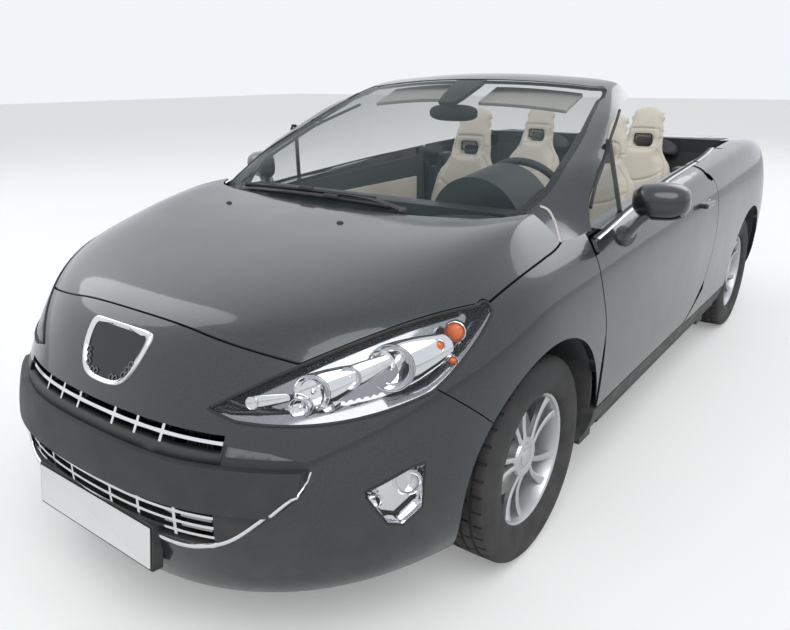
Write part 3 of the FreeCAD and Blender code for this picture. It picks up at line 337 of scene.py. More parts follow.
def add_twin(stem, ending="", stands_for=None):
    """Copies the left piece of a pair to the car's right side."""
    obj, name = bpy.data.objects[stem + "_l" + ending], stem + "_r" + ending
    mesh = obj.data.copy()
    mesh.name = name
    mesh.transform(Matrix.Scale(-1, 4, (1, 0, 0)))
    mesh.flip_normals()
    twin = link_object(name, mesh)
    for modifier in obj.modifiers:
        copy = twin.modifiers.new(modifier.name, modifier.type)
        for key in ("width", "segments", "limit_method", "angle_limit", "levels", "render_levels", "thickness",
                    "offset"):
            if hasattr(modifier, key):
                setattr(copy, key, getattr(modifier, key))
    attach(twin, "body")
    if stands_for:
        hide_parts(stands_for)


def turns(count):
    """Angles spaced evenly round a circle."""
    return [math.tau * k / count for k in range(count)]


def on_side(way, points):
    """Points of the left side, or their mirrors when way is -1."""
    return [(x * way, y, z) for x, y, z in points]


def loft(bm, sections, closed=True, caps=True):
    """Extrudes the first section's outline through the others; each has the same number of points."""
    ring = [bm.verts.new(point) for point in sections[0]]
    pairs = list(zip(ring, ring[1:]))
    if closed:
        pairs.append((ring[-1], ring[0]))
    edges = [bm.edges.new(pair) for pair in pairs]
    if closed and caps:
        bm.faces.new(ring)
    for section in sections[1:]:
        made = bmesh.ops.extrude_edge_only(bm, edges=edges)["geom"]
        fresh = {item for item in made if isinstance(item, bmesh.types.BMVert)}
        ring = [next(e.other_vert(v) for e in v.link_edges if e.other_vert(v) in fresh) for v in ring]
        for vert, point in zip(ring, section):
            vert.co = point
        edges = [item for item in made
                 if isinstance(item, bmesh.types.BMEdge) and all(v in fresh for v in item.verts)]
    if closed and caps:
        bm.faces.new(ring)
    return bm


def smooth_path(points, steps=6):
    """Points along a smooth curve through the given ones."""
    points = [Vector(p) for p in points]
    padded = [points[0] * 2 - points[1], *points, points[-1] * 2 - points[-2]]
    out = []
    for a, b, c, d in zip(padded, padded[1:], padded[2:], padded[3:]):
        for k in range(steps):
            t = k / steps
            out.append(0.5 * (2 * b + (c - a) * t + (2 * a - 5 * b + 4 * c - d) * t * t
                              + (3 * b - a - 3 * c + d) * t ** 3))
    out.append(points[-1])
    return out


def rod(bm, points, half_width, half_height, up=(0, 0, 1), sides=8, closed=False):
    """A bar of oval section along points; up gives the direction of its height."""
    sections = []
    count = len(points)
    for k, place in enumerate(points):
        before = points[(k - 1) % count if closed else max(k - 1, 0)]
        after = points[(k + 1) % count if closed else min(k + 1, count - 1)]
        along = (after - before).normalized()
        across = along.cross(Vector(up)).normalized()
        rise = across.cross(along)
        sections.append([place + across * (half_width * math.cos(t)) + rise * (half_height * math.sin(t))
                         for t in (math.tau * (s + 0.5) / sides for s in range(sides))])
    if closed:
        sections.append(sections[0])
    loft(bm, sections, caps=not closed)
    if closed:
        bmesh.ops.remove_doubles(bm, verts=bm.verts, dist=SAME_POINT)
    return bm


def turned(bm, profile, centre, axis=(1, 0, 0), steps=64):
    """Spins a profile of (along, radius) about an axis through centre."""
    axis = Vector(axis).normalized()
    out = axis.orthogonal().normalized()
    verts = [bm.verts.new(Vector(centre) + axis * a + out * r) for a, r in profile]
    edges = [bm.edges.new(pair) for pair in zip(verts, verts[1:])]
    bmesh.ops.spin(bm, geom=verts + edges, cent=centre, axis=axis, angle=math.tau, steps=steps, use_merge=True)
    bmesh.ops.remove_doubles(bm, verts=bm.verts, dist=SAME_POINT)
    return bm


def slab(bm, low, high):
    """A straight block between two corners, for shapes that are cut or bevelled after."""
    low, high = Vector(low), Vector(high)
    made = bmesh.ops.create_cube(bm, size=1.0)["verts"]
    bmesh.ops.scale(bm, verts=made, vec=high - low)
    bmesh.ops.translate(bm, verts=made, vec=(low + high) / 2)
    return bm


def round_edges(bm, size, segments=3, edges=None):
    bmesh.ops.bevel(bm, geom=edges or bm.edges[:], offset=size, segments=segments, profile=0.5, affect="EDGES",
                    material=-1)
    return bm


def flip_side(bm, way):
    bmesh.ops.scale(bm, verts=bm.verts, vec=(way, 1, 1))
    return bm


def copy_of(name):
    """A node's mesh as a joined bmesh, for a piece that follows its surface."""
    bm = bmesh.new()
    bm.from_mesh(nodes[name].data)
    bmesh.ops.remove_doubles(bm, verts=bm.verts, dist=SAME_NODE_POINT)
    bmesh.ops.recalc_face_normals(bm, faces=bm.faces)
    return bm


def ovals(bm, rows, count):
    """Lofts ovals given as a centre and two half axes."""
    return loft(bm, [[Vector(centre) + Vector(across) * math.cos(t) + Vector(rise) * math.sin(t)
                      for t in turns(count)] for centre, across, rise in rows])


def soft_square(power, count):
    """A unit circle drawn out towards a square by a power below 1."""
    return [[math.copysign(abs(part) ** power, part) for part in (math.cos(t), math.sin(t))] for t in turns(count)]


def tree_of(mesh):
    return BVHTree.FromPolygons([vert.co for vert in mesh.vertices], [face.vertices for face in mesh.polygons])


def line_piece(name, points, half_width, half_height, material, body="body", **settings):
    """A bar along a smooth curve through points."""
    add_piece(name, rod(bmesh.new(), smooth_path(points), half_width, half_height, **settings), material, body)


# Wheels: tyres with tread, and ten-spoke rims in pairs of spokes
TYRE_HALF = (
    # from the wheel's middle, radius; from the bead to the middle rib
    (-0.08, 0.2035), (-0.092, 0.208), (-0.1, 0.225), (-0.104, 0.248), (-0.106, 0.262), (-0.1045, 0.278),
    (-0.101, 0.294), (-0.096, 0.307), (-0.0885, 0.3165), (-0.08, 0.3198), (-0.064, 0.3207), (-0.06, 0.3205),
    (-0.059, 0.3135), (-0.05, 0.3135), (-0.049, 0.3208), (-0.026, 0.3213), (-0.025, 0.314), (-0.016, 0.314),
    (-0.015, 0.3214))
TYRE_PROFILE = [*TYRE_HALF, *((-along, radius) for along, radius in reversed(TYRE_HALF))]
TREAD_STEPS, TREAD_DEPTH = 210, 0.0052
TREAD_HALF, TREAD_RADIUS = 0.094, 0.3155  # cuts lie within this half width and above this radius
MIDDLE_RIB, INNER_RIB = 0.0255, 0.0495  # outer borders of the ribs


def make_tyre(corner, x, y):
    bm = turned(bmesh.new(), TYRE_PROFILE, (x, y, AXLE_Z), steps=TREAD_STEPS)
    cuts = []
    for face in bm.faces:
        centre = face.calc_center_median()
        along = abs(centre.x - x)
        spoke = Vector((centre.y - y, centre.z - AXLE_Z))
        step = int((math.atan2(spoke.y, spoke.x) / math.tau + 1) * TREAD_STEPS + 0.2) % TREAD_STEPS
        rib = 0 if along < MIDDLE_RIB else 1 if along < INNER_RIB else 2
        if spoke.length > TREAD_RADIUS and (step + 2 * rib) % (5 if rib == 2 else 7) == 0 and along < TREAD_HALF:
            cuts.append(face)
    bmesh.ops.inset_region(bm, faces=cuts, thickness=0.0012, depth=0.0)
    for vert in {v for face in cuts for v in face.verts}:
        vert.co -= Vector((0, vert.co.y - y, vert.co.z - AXLE_Z)).normalized() * TREAD_DEPTH
    add_piece("tread_" + corner, bm, tyre_rubber, "wheel_" + corner, angle=50, stands_for="tyre_" + corner)


BARREL_PROFILE = (
    (-0.088, 0.217), (-0.089, 0.2185), (-0.084, 0.219), (-0.08, 0.212), (-0.079, 0.2028), (-0.06, 0.201),
    (-0.04, 0.193), (0.02, 0.193), (0.05, 0.201), (0.079, 0.2028), (0.08, 0.212), (0.0835, 0.2188),
    (0.0885, 0.218), (0.089, 0.214), (0.086, 0.209), (0.078, 0.1985), (0.07, 0.1955), (0.056, 0.1925),
    (0.02, 0.186), (-0.04, 0.187), (-0.08, 0.195), (-0.088, 0.217))
SPOKE_SECTIONS = (
    # radius, offset round the wheel, half width, front face, thickness
    (0.046, 0.01, 0.0095, 0.063, 0.026), (0.062, 0.0125, 0.009, 0.0625, 0.024), (0.085, 0.0165, 0.0085, 0.0585, 0.021),
    (0.11, 0.0215, 0.0088, 0.056, 0.019), (0.135, 0.0275, 0.0098, 0.056, 0.018), (0.16, 0.0345, 0.0112, 0.059, 0.018),
    (0.18, 0.041, 0.0132, 0.0645, 0.02), (0.194, 0.0465, 0.016, 0.0715, 0.022))
HUB_PROFILE = ((0.03, 0.0246), (0.03, 0.06), (0.056, 0.064), (0.064, 0.06), (0.0655, 0.054), (0.064, 0.048),
               (0.06, 0.038), (0.062, 0.033), (0.062, 0.0246), (0.03, 0.0246))
CAP_PROFILE = ((0.06, 0.0001), (0.07, 0.0001), (0.0696, 0.016), (0.068, 0.0245), (0.0655, 0.029), (0.06, 0.0295))
DISC_PROFILE = ((0.024, 0.0245), (0.024, 0.07), (0.0085, 0.0705), (0.008, 0.074), (0.008, 0.1405), (0.007, 0.1418),
                (0.001, 0.1418), (0.0004, 0.13), (-0.0084, 0.13), (-0.009, 0.1418), (-0.015, 0.1418),
                (-0.016, 0.1405), (-0.016, 0.06), (-0.002, 0.06), (-0.002, 0.0245), (0.024, 0.0245))
BOLT_SIZE = 0.0085


def make_rim(corner, side, y):
    centre = Vector((side * WHEEL_X, y, AXLE_Z))
    bm = bmesh.new()
    for profile, steps in ((BARREL_PROFILE, 96), (HUB_PROFILE, 64)):
        turned(bm, [(side * a, r) for a, r in profile], centre, steps=steps)
    for pair in range(5):
        turn = Matrix.Rotation(math.tau * (pair + 0.25) / 5, 3, "X")
        for hand in (1, -1):
            sections = []
            for radius, offset, half, front, thick in SPOKE_SECTIONS:
                lean = 0.01 * math.sin((radius - 0.046) / 0.148 * math.pi)
                mid = hand * offset + lean
                ring = [(front - 0.0035, mid - half), (front, mid - half + 0.004), (front, mid + half - 0.004),
                        (front - 0.0035, mid + half), (front - thick, mid + half * 0.55),
                        (front - thick, mid - half * 0.55)]
                sections.append([centre + turn @ Vector((side * a, b, radius)) for a, b in ring])
            loft(bm, sections)
    turned(bm, [(side * a, r) for a, r in CAP_PROFILE], centre, steps=40)
    add_piece("alloy_" + corner, bm, alloy, "wheel_" + corner, angle=32, stands_for="rim_" + corner)


def make_brake(corner, side, y):
    centre = Vector((side * WHEEL_X, y, AXLE_Z))
    bm = turned(bmesh.new(), [(side * a, r) for a, r in DISC_PROFILE], centre, steps=72)
    for bolt in range(5):
        turn = Matrix.Rotation(math.tau * (bolt + 0.75) / 5, 3, "X")
        made = bmesh.ops.create_cone(bm, segments=6, radius1=BOLT_SIZE, radius2=BOLT_SIZE, depth=0.022,
                                     cap_ends=True)["verts"]
        bmesh.ops.rotate(bm, verts=made, cent=(0, 0, 0), matrix=Matrix.Rotation(math.pi / 2, 3, "Y"))
        bmesh.ops.translate(bm, verts=made, vec=centre + turn @ Vector((side * 0.05, 0, 0.054)))
    add_piece("brake_" + corner, bm, steel, "wheel_" + corner, angle=30)


for corner, side, y in (("fl", 1, FRONT_AXLE), ("fr", -1, FRONT_AXLE), ("rl", 1, REAR_AXLE), ("rr", -1, REAR_AXLE)):
    make_tyre(corner, side * WHEEL_X, y)
    make_rim(corner, side, y)
    make_brake(corner, side, y)


# Lamps
LAMP_IN = Vector((-math.sin(math.radians(50)), math.cos(math.radians(50)), 0))


def outer_skin(name, inward, least=0.2):
    """The faces of a node that face away from the inward direction with nothing of it in front."""
    bm = copy_of(name)
    tree = BVHTree.FromBMesh(bm)
    hidden = []
    for face in bm.faces:
        start = face.calc_center_median() - inward * 0.002
        if face.normal.dot(-inward) < least or tree.ray_cast(start, -inward)[0] is not None:
            hidden.append(face)
    bmesh.ops.delete(bm, geom=hidden, context="FACES")
    return bm


def rim_points(bm, step=0.012):
    """The widest open edge of a skin, as evenly spaced points."""
    open_edges = dict.fromkeys(edge for edge in bm.edges if len(edge.link_faces) == 1)
    best, best_size = [], 0.0
    while open_edges:
        edge = next(iter(open_edges))
        del open_edges[edge]
        loop = [edge.verts[0], edge.verts[1]]
        for _ in range(2):
            while True:
                following = next((e for e in loop[-1].link_edges if e in open_edges), None)
                if following is None:
                    break
                del open_edges[following]
                loop.append(following.other_vert(loop[-1]))
            loop.reverse()
        size = sum((a.co - b.co).length for a, b in zip(loop, loop[1:]))
        if size > best_size:
            best, best_size = loop, size
    kept = [best[0].co.copy()]
    for vert in best[1:]:
        if (vert.co - kept[-1]).length > step:
            kept.append(vert.co.copy())
    if (kept[-1] - kept[0]).length < step * 0.6:
        kept.pop()
    return kept


def make_housing(name, bm, inward, depth, material):
    """An open tray behind a lamp's lens: the skin's copy pushed in, its front left open."""
    front = list(bm.faces)
    pushed = bmesh.ops.extrude_face_region(bm, geom=front)["geom"]
    bmesh.ops.translate(bm, verts=[v for v in pushed if isinstance(v, bmesh.types.BMVert)], vec=inward * depth)
    bmesh.ops.delete(bm, geom=[face for face in front if face.is_valid], context="FACES_ONLY")
    add_piece(name, bm, material, angle=30, wall=0.0012).modifiers["wall"].offset = 0.0


def add_seal(name, edge, size):
    add_piece(name, rod(bmesh.new(), edge, size, size, closed=True), rubber)


def bowl(bm, centre, radius, depth, axis):
    """A reflector dish with a rolled rim."""
    profile = [(-depth, 0.004), (-depth * 0.96, radius * 0.28), (-depth * 0.8, radius * 0.52),
               (-depth * 0.52, radius * 0.76), (-depth * 0.16, radius * 0.93), (0.0, radius * 0.955),
               (0.003, radius * 0.97), (0.003, radius), (-0.004, radius * 1.01), (-depth * 0.5, radius * 0.84),
               (-depth * 1.03, radius * 0.3), (-depth * 1.05, 0.004)]
    turned(bm, profile, centre, axis, 48)


def shroud(bm, centre, radius, axis, trail):
    """A tube that runs back from a reflector's rim and narrows."""
    axis, trail = Vector(axis).normalized(), Vector(trail)
    side = axis.cross((0, 0, 1)).normalized()
    rise = side.cross(axis)
    sections = []
    for k in range(9):
        t = k / 8
        size = radius * (1.02 - 0.42 * t ** 1.5)
        middle = Vector(centre) + trail * t
        sections.append([middle + side * (size * math.cos(a)) + rise * (size * math.sin(a)) for a in turns(32)])
    loft(bm, sections, caps=False)


# Reflectors of a headlamp: centre, radius, depth and where the tube behind runs
UNITS = (((0.689, -1.754, 0.751), 0.059, 0.03, (0.07, 0.105, 0.035)),
         ((0.565, -1.903, 0.707), 0.046, 0.026, (0.06, 0.085, 0.03)),
         ((0.633, -1.842, 0.742), 0.028, 0.016, (0.05, 0.07, 0.03)),
         ((0.457, -1.996, 0.688), 0.016, 0.01, (0.065, 0.05, 0.012)),
         ((0.552, -1.935, 0.676), 0.026, 0.014, (0.01, 0.02, 0.004)),
         ((0.6, -1.886, 0.676), 0.016, 0.01, (0.01, 0.02, 0.004)))
AMBERS = (((0.778, -1.607, 0.819), 0.024), ((0.765, -1.663, 0.796), 0.016), ((0.797, -1.644, 0.759), 0.011))
LAMP_AXIS = (0.42, -0.89, 0.16)


def make_headlamp():
    skin = outer_skin("headlamp_l", LAMP_IN)
    edge = rim_points(skin)
    make_housing("headlamp_tray_l", skin.copy(), LAMP_IN, 0.075, tray_metal)
    add_piece("headlamp_lens_l", skin, lens_glass, wall=0.0025, stands_for="headlamp_l")
    add_seal("headlamp_seal_l", edge, 0.0042)
    bm = bmesh.new()
    for centre, radius, depth, trail in UNITS:
        bowl(bm, centre, radius, depth, LAMP_AXIS)
        shroud(bm, centre, radius, LAMP_AXIS, trail)
    add_piece("headlamp_reflectors_l", bm, reflector)
    bm = bmesh.new()
    axis = Vector(LAMP_AXIS).normalized()
    for centre, radius, depth, trail in UNITS:
        turned(bm, [(-depth * back, radius * 0.7 * out) for back, out in (
            (0.7, 0.98), (0.3, 1), (0.25, 1.05), (0.3, 1.1), (0.7, 1.12), (0.7, 0.98))], centre, axis, 40)
        turned(bm, [(-depth * 0.5, radius * 0.1), (0, radius * 0.13), (radius * 0.16, radius * 0.1),
                    (radius * 0.22, radius * 0.02)], Vector(centre) - axis * (depth * 0.45), axis, 20)
    ambers = bmesh.new()
    for centre, radius in AMBERS:
        turned(bm, [(along, radius * out) for along, out in (
            (-0.014, 0.96), (0, 1), (0.003, 1.06), (0.002, 1.14), (-0.014, 1.2), (-0.014, 0.96))], centre, axis, 40)
        turned(ambers, [*((along, radius * out) for along, out in (
            (-0.012, 0.95), (-0.003, 0.92), (0.003, 0.72), (0.006, 0.4))), (0.007, 0.0005)], centre, axis, 32)
    add_piece("headlamp_rings_l", bm, chrome)
    add_piece("headlamp_amber_l", ambers, amber)


def make_fog_lamp():
    inward = Vector((-0.8, 0.6, 0))
    skin = outer_skin("fog_lamp_l", inward)
    edge = rim_points(skin, 0.008)
    make_housing("fog_tray_l", skin.copy(), inward, 0.03, reflector)
    add_piece("fog_lens_l", skin, lens_glass, wall=0.002, stands_for="fog_lamp_l")
    add_seal("fog_seal_l", edge, 0.003)
    axis, centre = (0.72, -0.69, 0.02), (0.765, -1.79, 0.48)
    bm = bmesh.new()
    bowl(bm, centre, 0.036, 0.018, axis)
    bowl(bm, (0.722, -1.868, 0.452), 0.02, 0.01, axis)
    add_piece("fog_reflector_l", bm, chrome)
    add_piece("fog_glass_l", turned(bmesh.new(), [(-0.004, 0.03), (0.002, 0.028), (0.008, 0.018), (0.01, 0.0005)],
                                    centre, axis, 32), lens_glass)


def make_tail_seal():
    skin = outer_skin("tail_lamp_l", Vector((-0.5, -0.86, 0)), 0.1)
    add_seal("tail_seal_l", rim_points(skin, 0.01), 0.0028)
    skin.free()


make_headlamp()
make_fog_lamp()
make_tail_seal()
for stem in ("headlamp_tray", "headlamp_lens", "headlamp_seal", "headlamp_reflectors", "headlamp_rings",
             "headlamp_amber", "fog_tray", "fog_lens", "fog_seal", "fog_reflector", "fog_glass", "tail_seal"):
    add_twin(stem,
             stands_for={"headlamp_lens": "headlamp_r", "fog_lens": "fog_lamp_r"}.get(stem))


# Nose: plate, mouldings, grille backing and badge
NOSE_SKIN = [tree_of(nodes[name].data) for name in ("front_bumper", "badge_plate", "bumper_bar")]


def stood_off(place, normal, proud):
    return place + normal * (proud if normal.y < 0 else -proud)


def near_nose(point, proud=0.0):
    """The place on the nose nearest to a point, stood proud by a little."""
    return stood_off(*min((tree.find_nearest(point) for tree in NOSE_SKIN), key=lambda hit: hit[3])[:2], proud)


def nose_point(x, z, proud=0.0):
    """The place on the nose straight behind (x, z), stood proud by a little."""
    hits = [tree.ray_cast(Vector((x, -3, z)), Vector((0, 1, 0))) for tree in NOSE_SKIN]
    hits = [hit[:2] for hit in hits if hit[0] is not None and hit[0].y < -1.9]
    if not hits:
        return near_nose(Vector((x, -2.06, z)), proud)
    return stood_off(*min(hits, key=lambda hit: hit[0].y), proud)


def make_moulding(side, way):
    """Chrome line round the lower grille: thick by the plate, thin where it climbs."""
    points = ((0.262, -2.174, 0.337), (0.33, -2.159, 0.334), (0.39, -2.144, 0.34), (0.467, -2.112, 0.37),
              (0.536, -2.073, 0.43), (0.598, -2.047, 0.488), (0.62, -2.002, 0.52), (0.628, -1.984, 0.556))
    path = [near_nose(point, 0.0015) for point in smooth_path(on_side(way, points))]
    rows = []
    for k, place in enumerate(path):
        along = (path[min(k + 1, len(path) - 1)] - path[max(k - 1, 0)]).normalized()
        out = Vector((0.35 * way, -0.93, 0.05)).normalized()
        rise = along.cross(out).normalized()
        out = rise.cross(along).normalized() * (1 if rise.cross(along).dot(out) > 0 else -1)
        rows.append((place, rise * (0.0072 - 0.0042 * k / (len(path) - 1)), out * 0.0045))
    add_piece("grille_moulding_" + side, ovals(bmesh.new(), rows, 10), chrome)


def make_plate():
    """White blank plate on a black holder with a deep top shelf."""
    place = Matrix.Translation((0, -2.1885, 0.305)) @ Matrix.Rotation(math.radians(-7.5), 4, "X")
    bm = slab(bmesh.new(), (-0.268, -0.0035, -0.063), (0.268, 0.03, 0.066))
    for face in [f for f in bm.faces if f.normal.y < -0.9]:
        bmesh.ops.inset_region(bm, faces=[face], thickness=0.006)
        bmesh.ops.translate(bm, verts=face.verts, vec=(0, 0.003, 0))
    bmesh.ops.transform(bm, verts=bm.verts, matrix=place)
    add_piece("plate_holder", bm, black_plastic, bevel=0.003)
    bm = slab(bmesh.new(), (-0.26, -0.0052, -0.056), (0.26, -0.0036, 0.057))
    round_edges(bm, 0.003, 4, [e for e in bm.edges if abs(e.verts[0].co.y - e.verts[1].co.y) > 0.001])
    for face in [f for f in bm.faces if f.normal.y < -0.9]:
        bmesh.ops.inset_region(bm, faces=[face], thickness=0.0035, depth=0.0)
        bmesh.ops.translate(bm, verts=face.verts, vec=(0, 0.0006, 0))
    bmesh.ops.transform(bm, verts=bm.verts, matrix=place)
    add_piece("plate_blank", bm, plate_white, bevel=0.0004)
    add_piece("plate_shelf", slab(bmesh.new(), (-0.262, -2.158, 0.366), (0.262, -2.12, 0.372)), black_plastic,
              bevel=0.002)


def make_grille_backing():
    """Radiator with fine fins, seen as black depth behind the slats, and the grille's posts."""
    bm = slab(bmesh.new(), (-0.42, -1.905, 0.36), (0.42, -1.87, 0.6))
    for k in range(46):
        x = -0.414 + k * 0.0184
        slab(bm, (x - 0.0012, -1.912, 0.365), (x + 0.0012, -1.905, 0.595))
    add_piece("radiator", bm, under_metal)
    bm = bmesh.new()
    for x in (-0.33, -0.19, 0.0, 0.19, 0.33):
        slab(bm, (x - 0.006, -2.06 + abs(x) * 0.12, 0.352), (x + 0.006, -2.03 + abs(x) * 0.12, 0.565))
    add_piece("grille_posts", bm, black_gloss, bevel=0.002)


BADGE_HALF = ((0.045, 0.8015), (0.1, 0.8012), (0.126, 0.7995), (0.135, 0.79), (0.133, 0.765), (0.124, 0.73),
              (0.108, 0.698), (0.088, 0.677), (0.064, 0.667), (0.03, 0.6625))
BADGE_MIDDLE = 0.738
CELL_PITCH, CELL_BAR = 0.0175, 0.0024


def badge_outline(scale):
    """(x, z) round the badge, drawn in towards its middle by a scale."""
    outline = [*BADGE_HALF, *((-x, z) for x, z in reversed(BADGE_HALF))]
    return [(x * scale, BADGE_MIDDLE + (z - BADGE_MIDDLE) * scale) for x, z in outline]


def is_inside(outline, x, z):
    within = False
    for (a, b), (c, d) in zip(outline, outline[1:] + outline[:1]):
        if (b > z) != (d > z) and x < (c - a) * (z - b) / (d - b) + a:
            within = not within
    return within


def make_badge():
    """A wide plain shield: a chrome ring round a black back with a honeycomb."""
    def badge_rings(rows):
        return [[nose_point(x, z, proud) for x, z in badge_outline(scale)] for scale, proud in rows]

    ring_rows = ((1.0, 0.0005), (0.99, 0.006), (0.955, 0.0085), (0.92, 0.0065), (0.86, 0.0022), (0.845, 0.0012))
    bm = loft(bmesh.new(), badge_rings(ring_rows), caps=False)
    add_piece("badge_ring", bm, chrome, rounds=1, stands_for="badge_plate").data.shade_smooth()
    bm = loft(bmesh.new(), badge_rings([(scale, 0.0004) for scale in (0.9, 0.6, 0.3, 0.08)]))
    add_piece("badge_back", bm, black_gloss, angle=60)
    bm = bmesh.new()
    inside = badge_outline(0.82)
    for row in range(-8, 9):
        for column in range(-9, 10):
            x = (column + 0.5 * (row % 2)) * CELL_PITCH
            z = BADGE_MIDDLE + row * CELL_PITCH * 0.78
            if not is_inside(inside, x, z):
                continue
            out = (nose_point(x, z, 0.01) - nose_point(x, z)).normalized()
            across = Vector((0, 0, 1)).cross(out).normalized()
            place = Matrix((across, out.cross(across), out)).transposed().to_4x4()
            place = Matrix.Translation(nose_point(x, z, 0.0022)) @ place
            cell = bmesh.ops.create_circle(bm, cap_ends=True, segments=6, radius=CELL_PITCH * 0.54, matrix=place)
            face = cell["verts"][0].link_faces[0]
            bmesh.ops.inset_region(bm, faces=[face], thickness=CELL_BAR, use_boundary=True)
            bmesh.ops.delete(bm, geom=[face], context="FACES")
    add_piece("badge_honeycomb", bm, mesh_plastic, wall=0.0016)


def make_slats():
    """The grilles' bright bars, a little finer than the solids they stand for."""
    for name in ("grille_lower", "grille_upper"):
        bm = copy_of(name)
        bm.normal_update()
        for vert in bm.verts:
            vert.co -= vert.normal * 0.0017
        add_piece(name + "_bars", bm, chrome, stands_for=name)


def make_cover(name, node, limits, proud, material):
    """A thin cover over part of a node's front, cut out by planes of (point, direction kept)."""
    bm = copy_of(node)
    for point, keep in (*limits, ((0, -1.9, 0), (0, -1, 0))):
        bmesh.ops.bisect_plane(bm, geom=bm.verts[:] + bm.edges[:] + bm.faces[:], plane_co=point,
                               plane_no=[-k for k in keep], clear_outer=True)
    inner = [face for face in bm.faces if face.normal.y > -0.02 and face.normal.z < 0.6]
    bmesh.ops.delete(bm, geom=inner, context="FACES")
    bm.normal_update()
    for vert, place in [(vert, vert.co + vert.normal * proud) for vert in bm.verts]:
        vert.co = place
    add_piece(name, bm, material, wall=proud * 0.9)


for side, way in SIDES:
    make_moulding(side, way)
make_plate()
make_grille_backing()
make_badge()
make_slats()
make_cover("bar_top", "front_bumper", (
    ((0.442, 0, 0), (-1, 0, 0)), ((-0.442, 0, 0), (1, 0, 0)), ((0, 0, 0.545), (0, 0, 1)),
    ((0, 0, 0.607), (0, 0, -1))), 0.0012, black_plastic)
for side, way in SIDES:
    make_cover("bar_pad_" + side, "bumper_bar", (((0.448 * way, 0, 0), (way, 0, 0)), ((0, 0, 0.5795), (0, 0, 1))),
               0.0014, pad_plastic)


# Cabin
STEERING_HUB = Vector((0.37, -0.42105, 0.92473))
STEERING_AXIS = Vector((0, 0.94036, 0.34013))


def make_wheel_grip():
    """Bright inserts on the steering wheel's spokes and a plain boss cap."""
    axis, hub, across = STEERING_AXIS, STEERING_HUB, Vector((1, 0, 0))
    rise = axis.cross(across)
    add_piece("wheel_boss", turned(bmesh.new(), [(0.01, 0.056), (0.026, 0.052), (0.034, 0.04), (0.037, 0.02),
                                                 (0.0375, 0.0005)], hub, axis, 48), dash_skin, "steering_wheel")
    ring = [hub + axis * 0.036 + across * (0.02 * math.cos(t)) + rise * (0.02 * math.sin(t)) for t in turns(48)]
    bm = rod(bmesh.new(), ring, 0.0012, 0.0012, up=axis, closed=True)
    for way in (-1, 1):
        spoke = [hub + across * (way * a) + rise * b + axis * c for a, b, c in (
            (0.06, 0.012, 0.018), (0.095, 0.016, 0.01), (0.13, 0.018, 0.006), (0.16, 0.014, 0.008))]
        rod(bm, smooth_path(spoke), 0.007, 0.002, up=axis)
    add_piece("wheel_inserts", bm, alloy, "steering_wheel")


def make_gauges():
    """Two large and two small dials under the hood, pale faces with dark ticks and red needles."""
    out = Vector((0, 0.995, 0.0995)).normalized()
    rise = Vector((0, -0.0995, 0.995))
    rings, faces, ticks, needles = bmesh.new(), bmesh.new(), bmesh.new(), bmesh.new()
    for x, z, radius in ((-0.072, 0.012, 0.048), (0.072, 0.012, 0.048), (0.0, 0.06, 0.026), (0.0, -0.012, 0.022)):
        middle = Vector((0.37, -0.6015, 0.905)) + Vector((x, 0, 0)) + rise * z
        turned(rings, [(a, radius * r) for a, r in ((-0.004, 1), (0.006, 1.02), (0.007, 1.07), (0.004, 1.12),
                                                    (-0.004, 1.12), (-0.004, 1))], middle, out, 40)
        turned(faces, [(-0.004, radius * 0.99), (0.0, radius * 0.99), (0.001, radius * 0.6), (0.001, 0.0005)],
               middle, out, 40)
        for k in range(13):
            angle = math.radians(-45 + 22.5 * k)
            way = Vector((math.cos(angle), 0, 0)) + rise * math.sin(angle)
            rod(ticks, [middle + way * (radius * r) + out * 0.002 for r in (0.8, 0.93)], 0.0008, 0.0005, out, 6)
        rod(needles, [middle + out * 0.004, middle + (Vector((-0.6, 0, 0)) - rise * 0.5) * radius + out * 0.004],
            0.0012, 0.0006, out, 6)
        turned(needles, [(0.0, 0.005), (0.006, 0.004), (0.007, 0.0005)], middle, out, 16)
    for name, bm, material in (("rings", rings, chrome), ("faces", faces, plate_white), ("ticks", ticks, black_gloss),
                               ("needles", needles, lamp_red)):
        add_piece("gauge_" + name, bm, material)


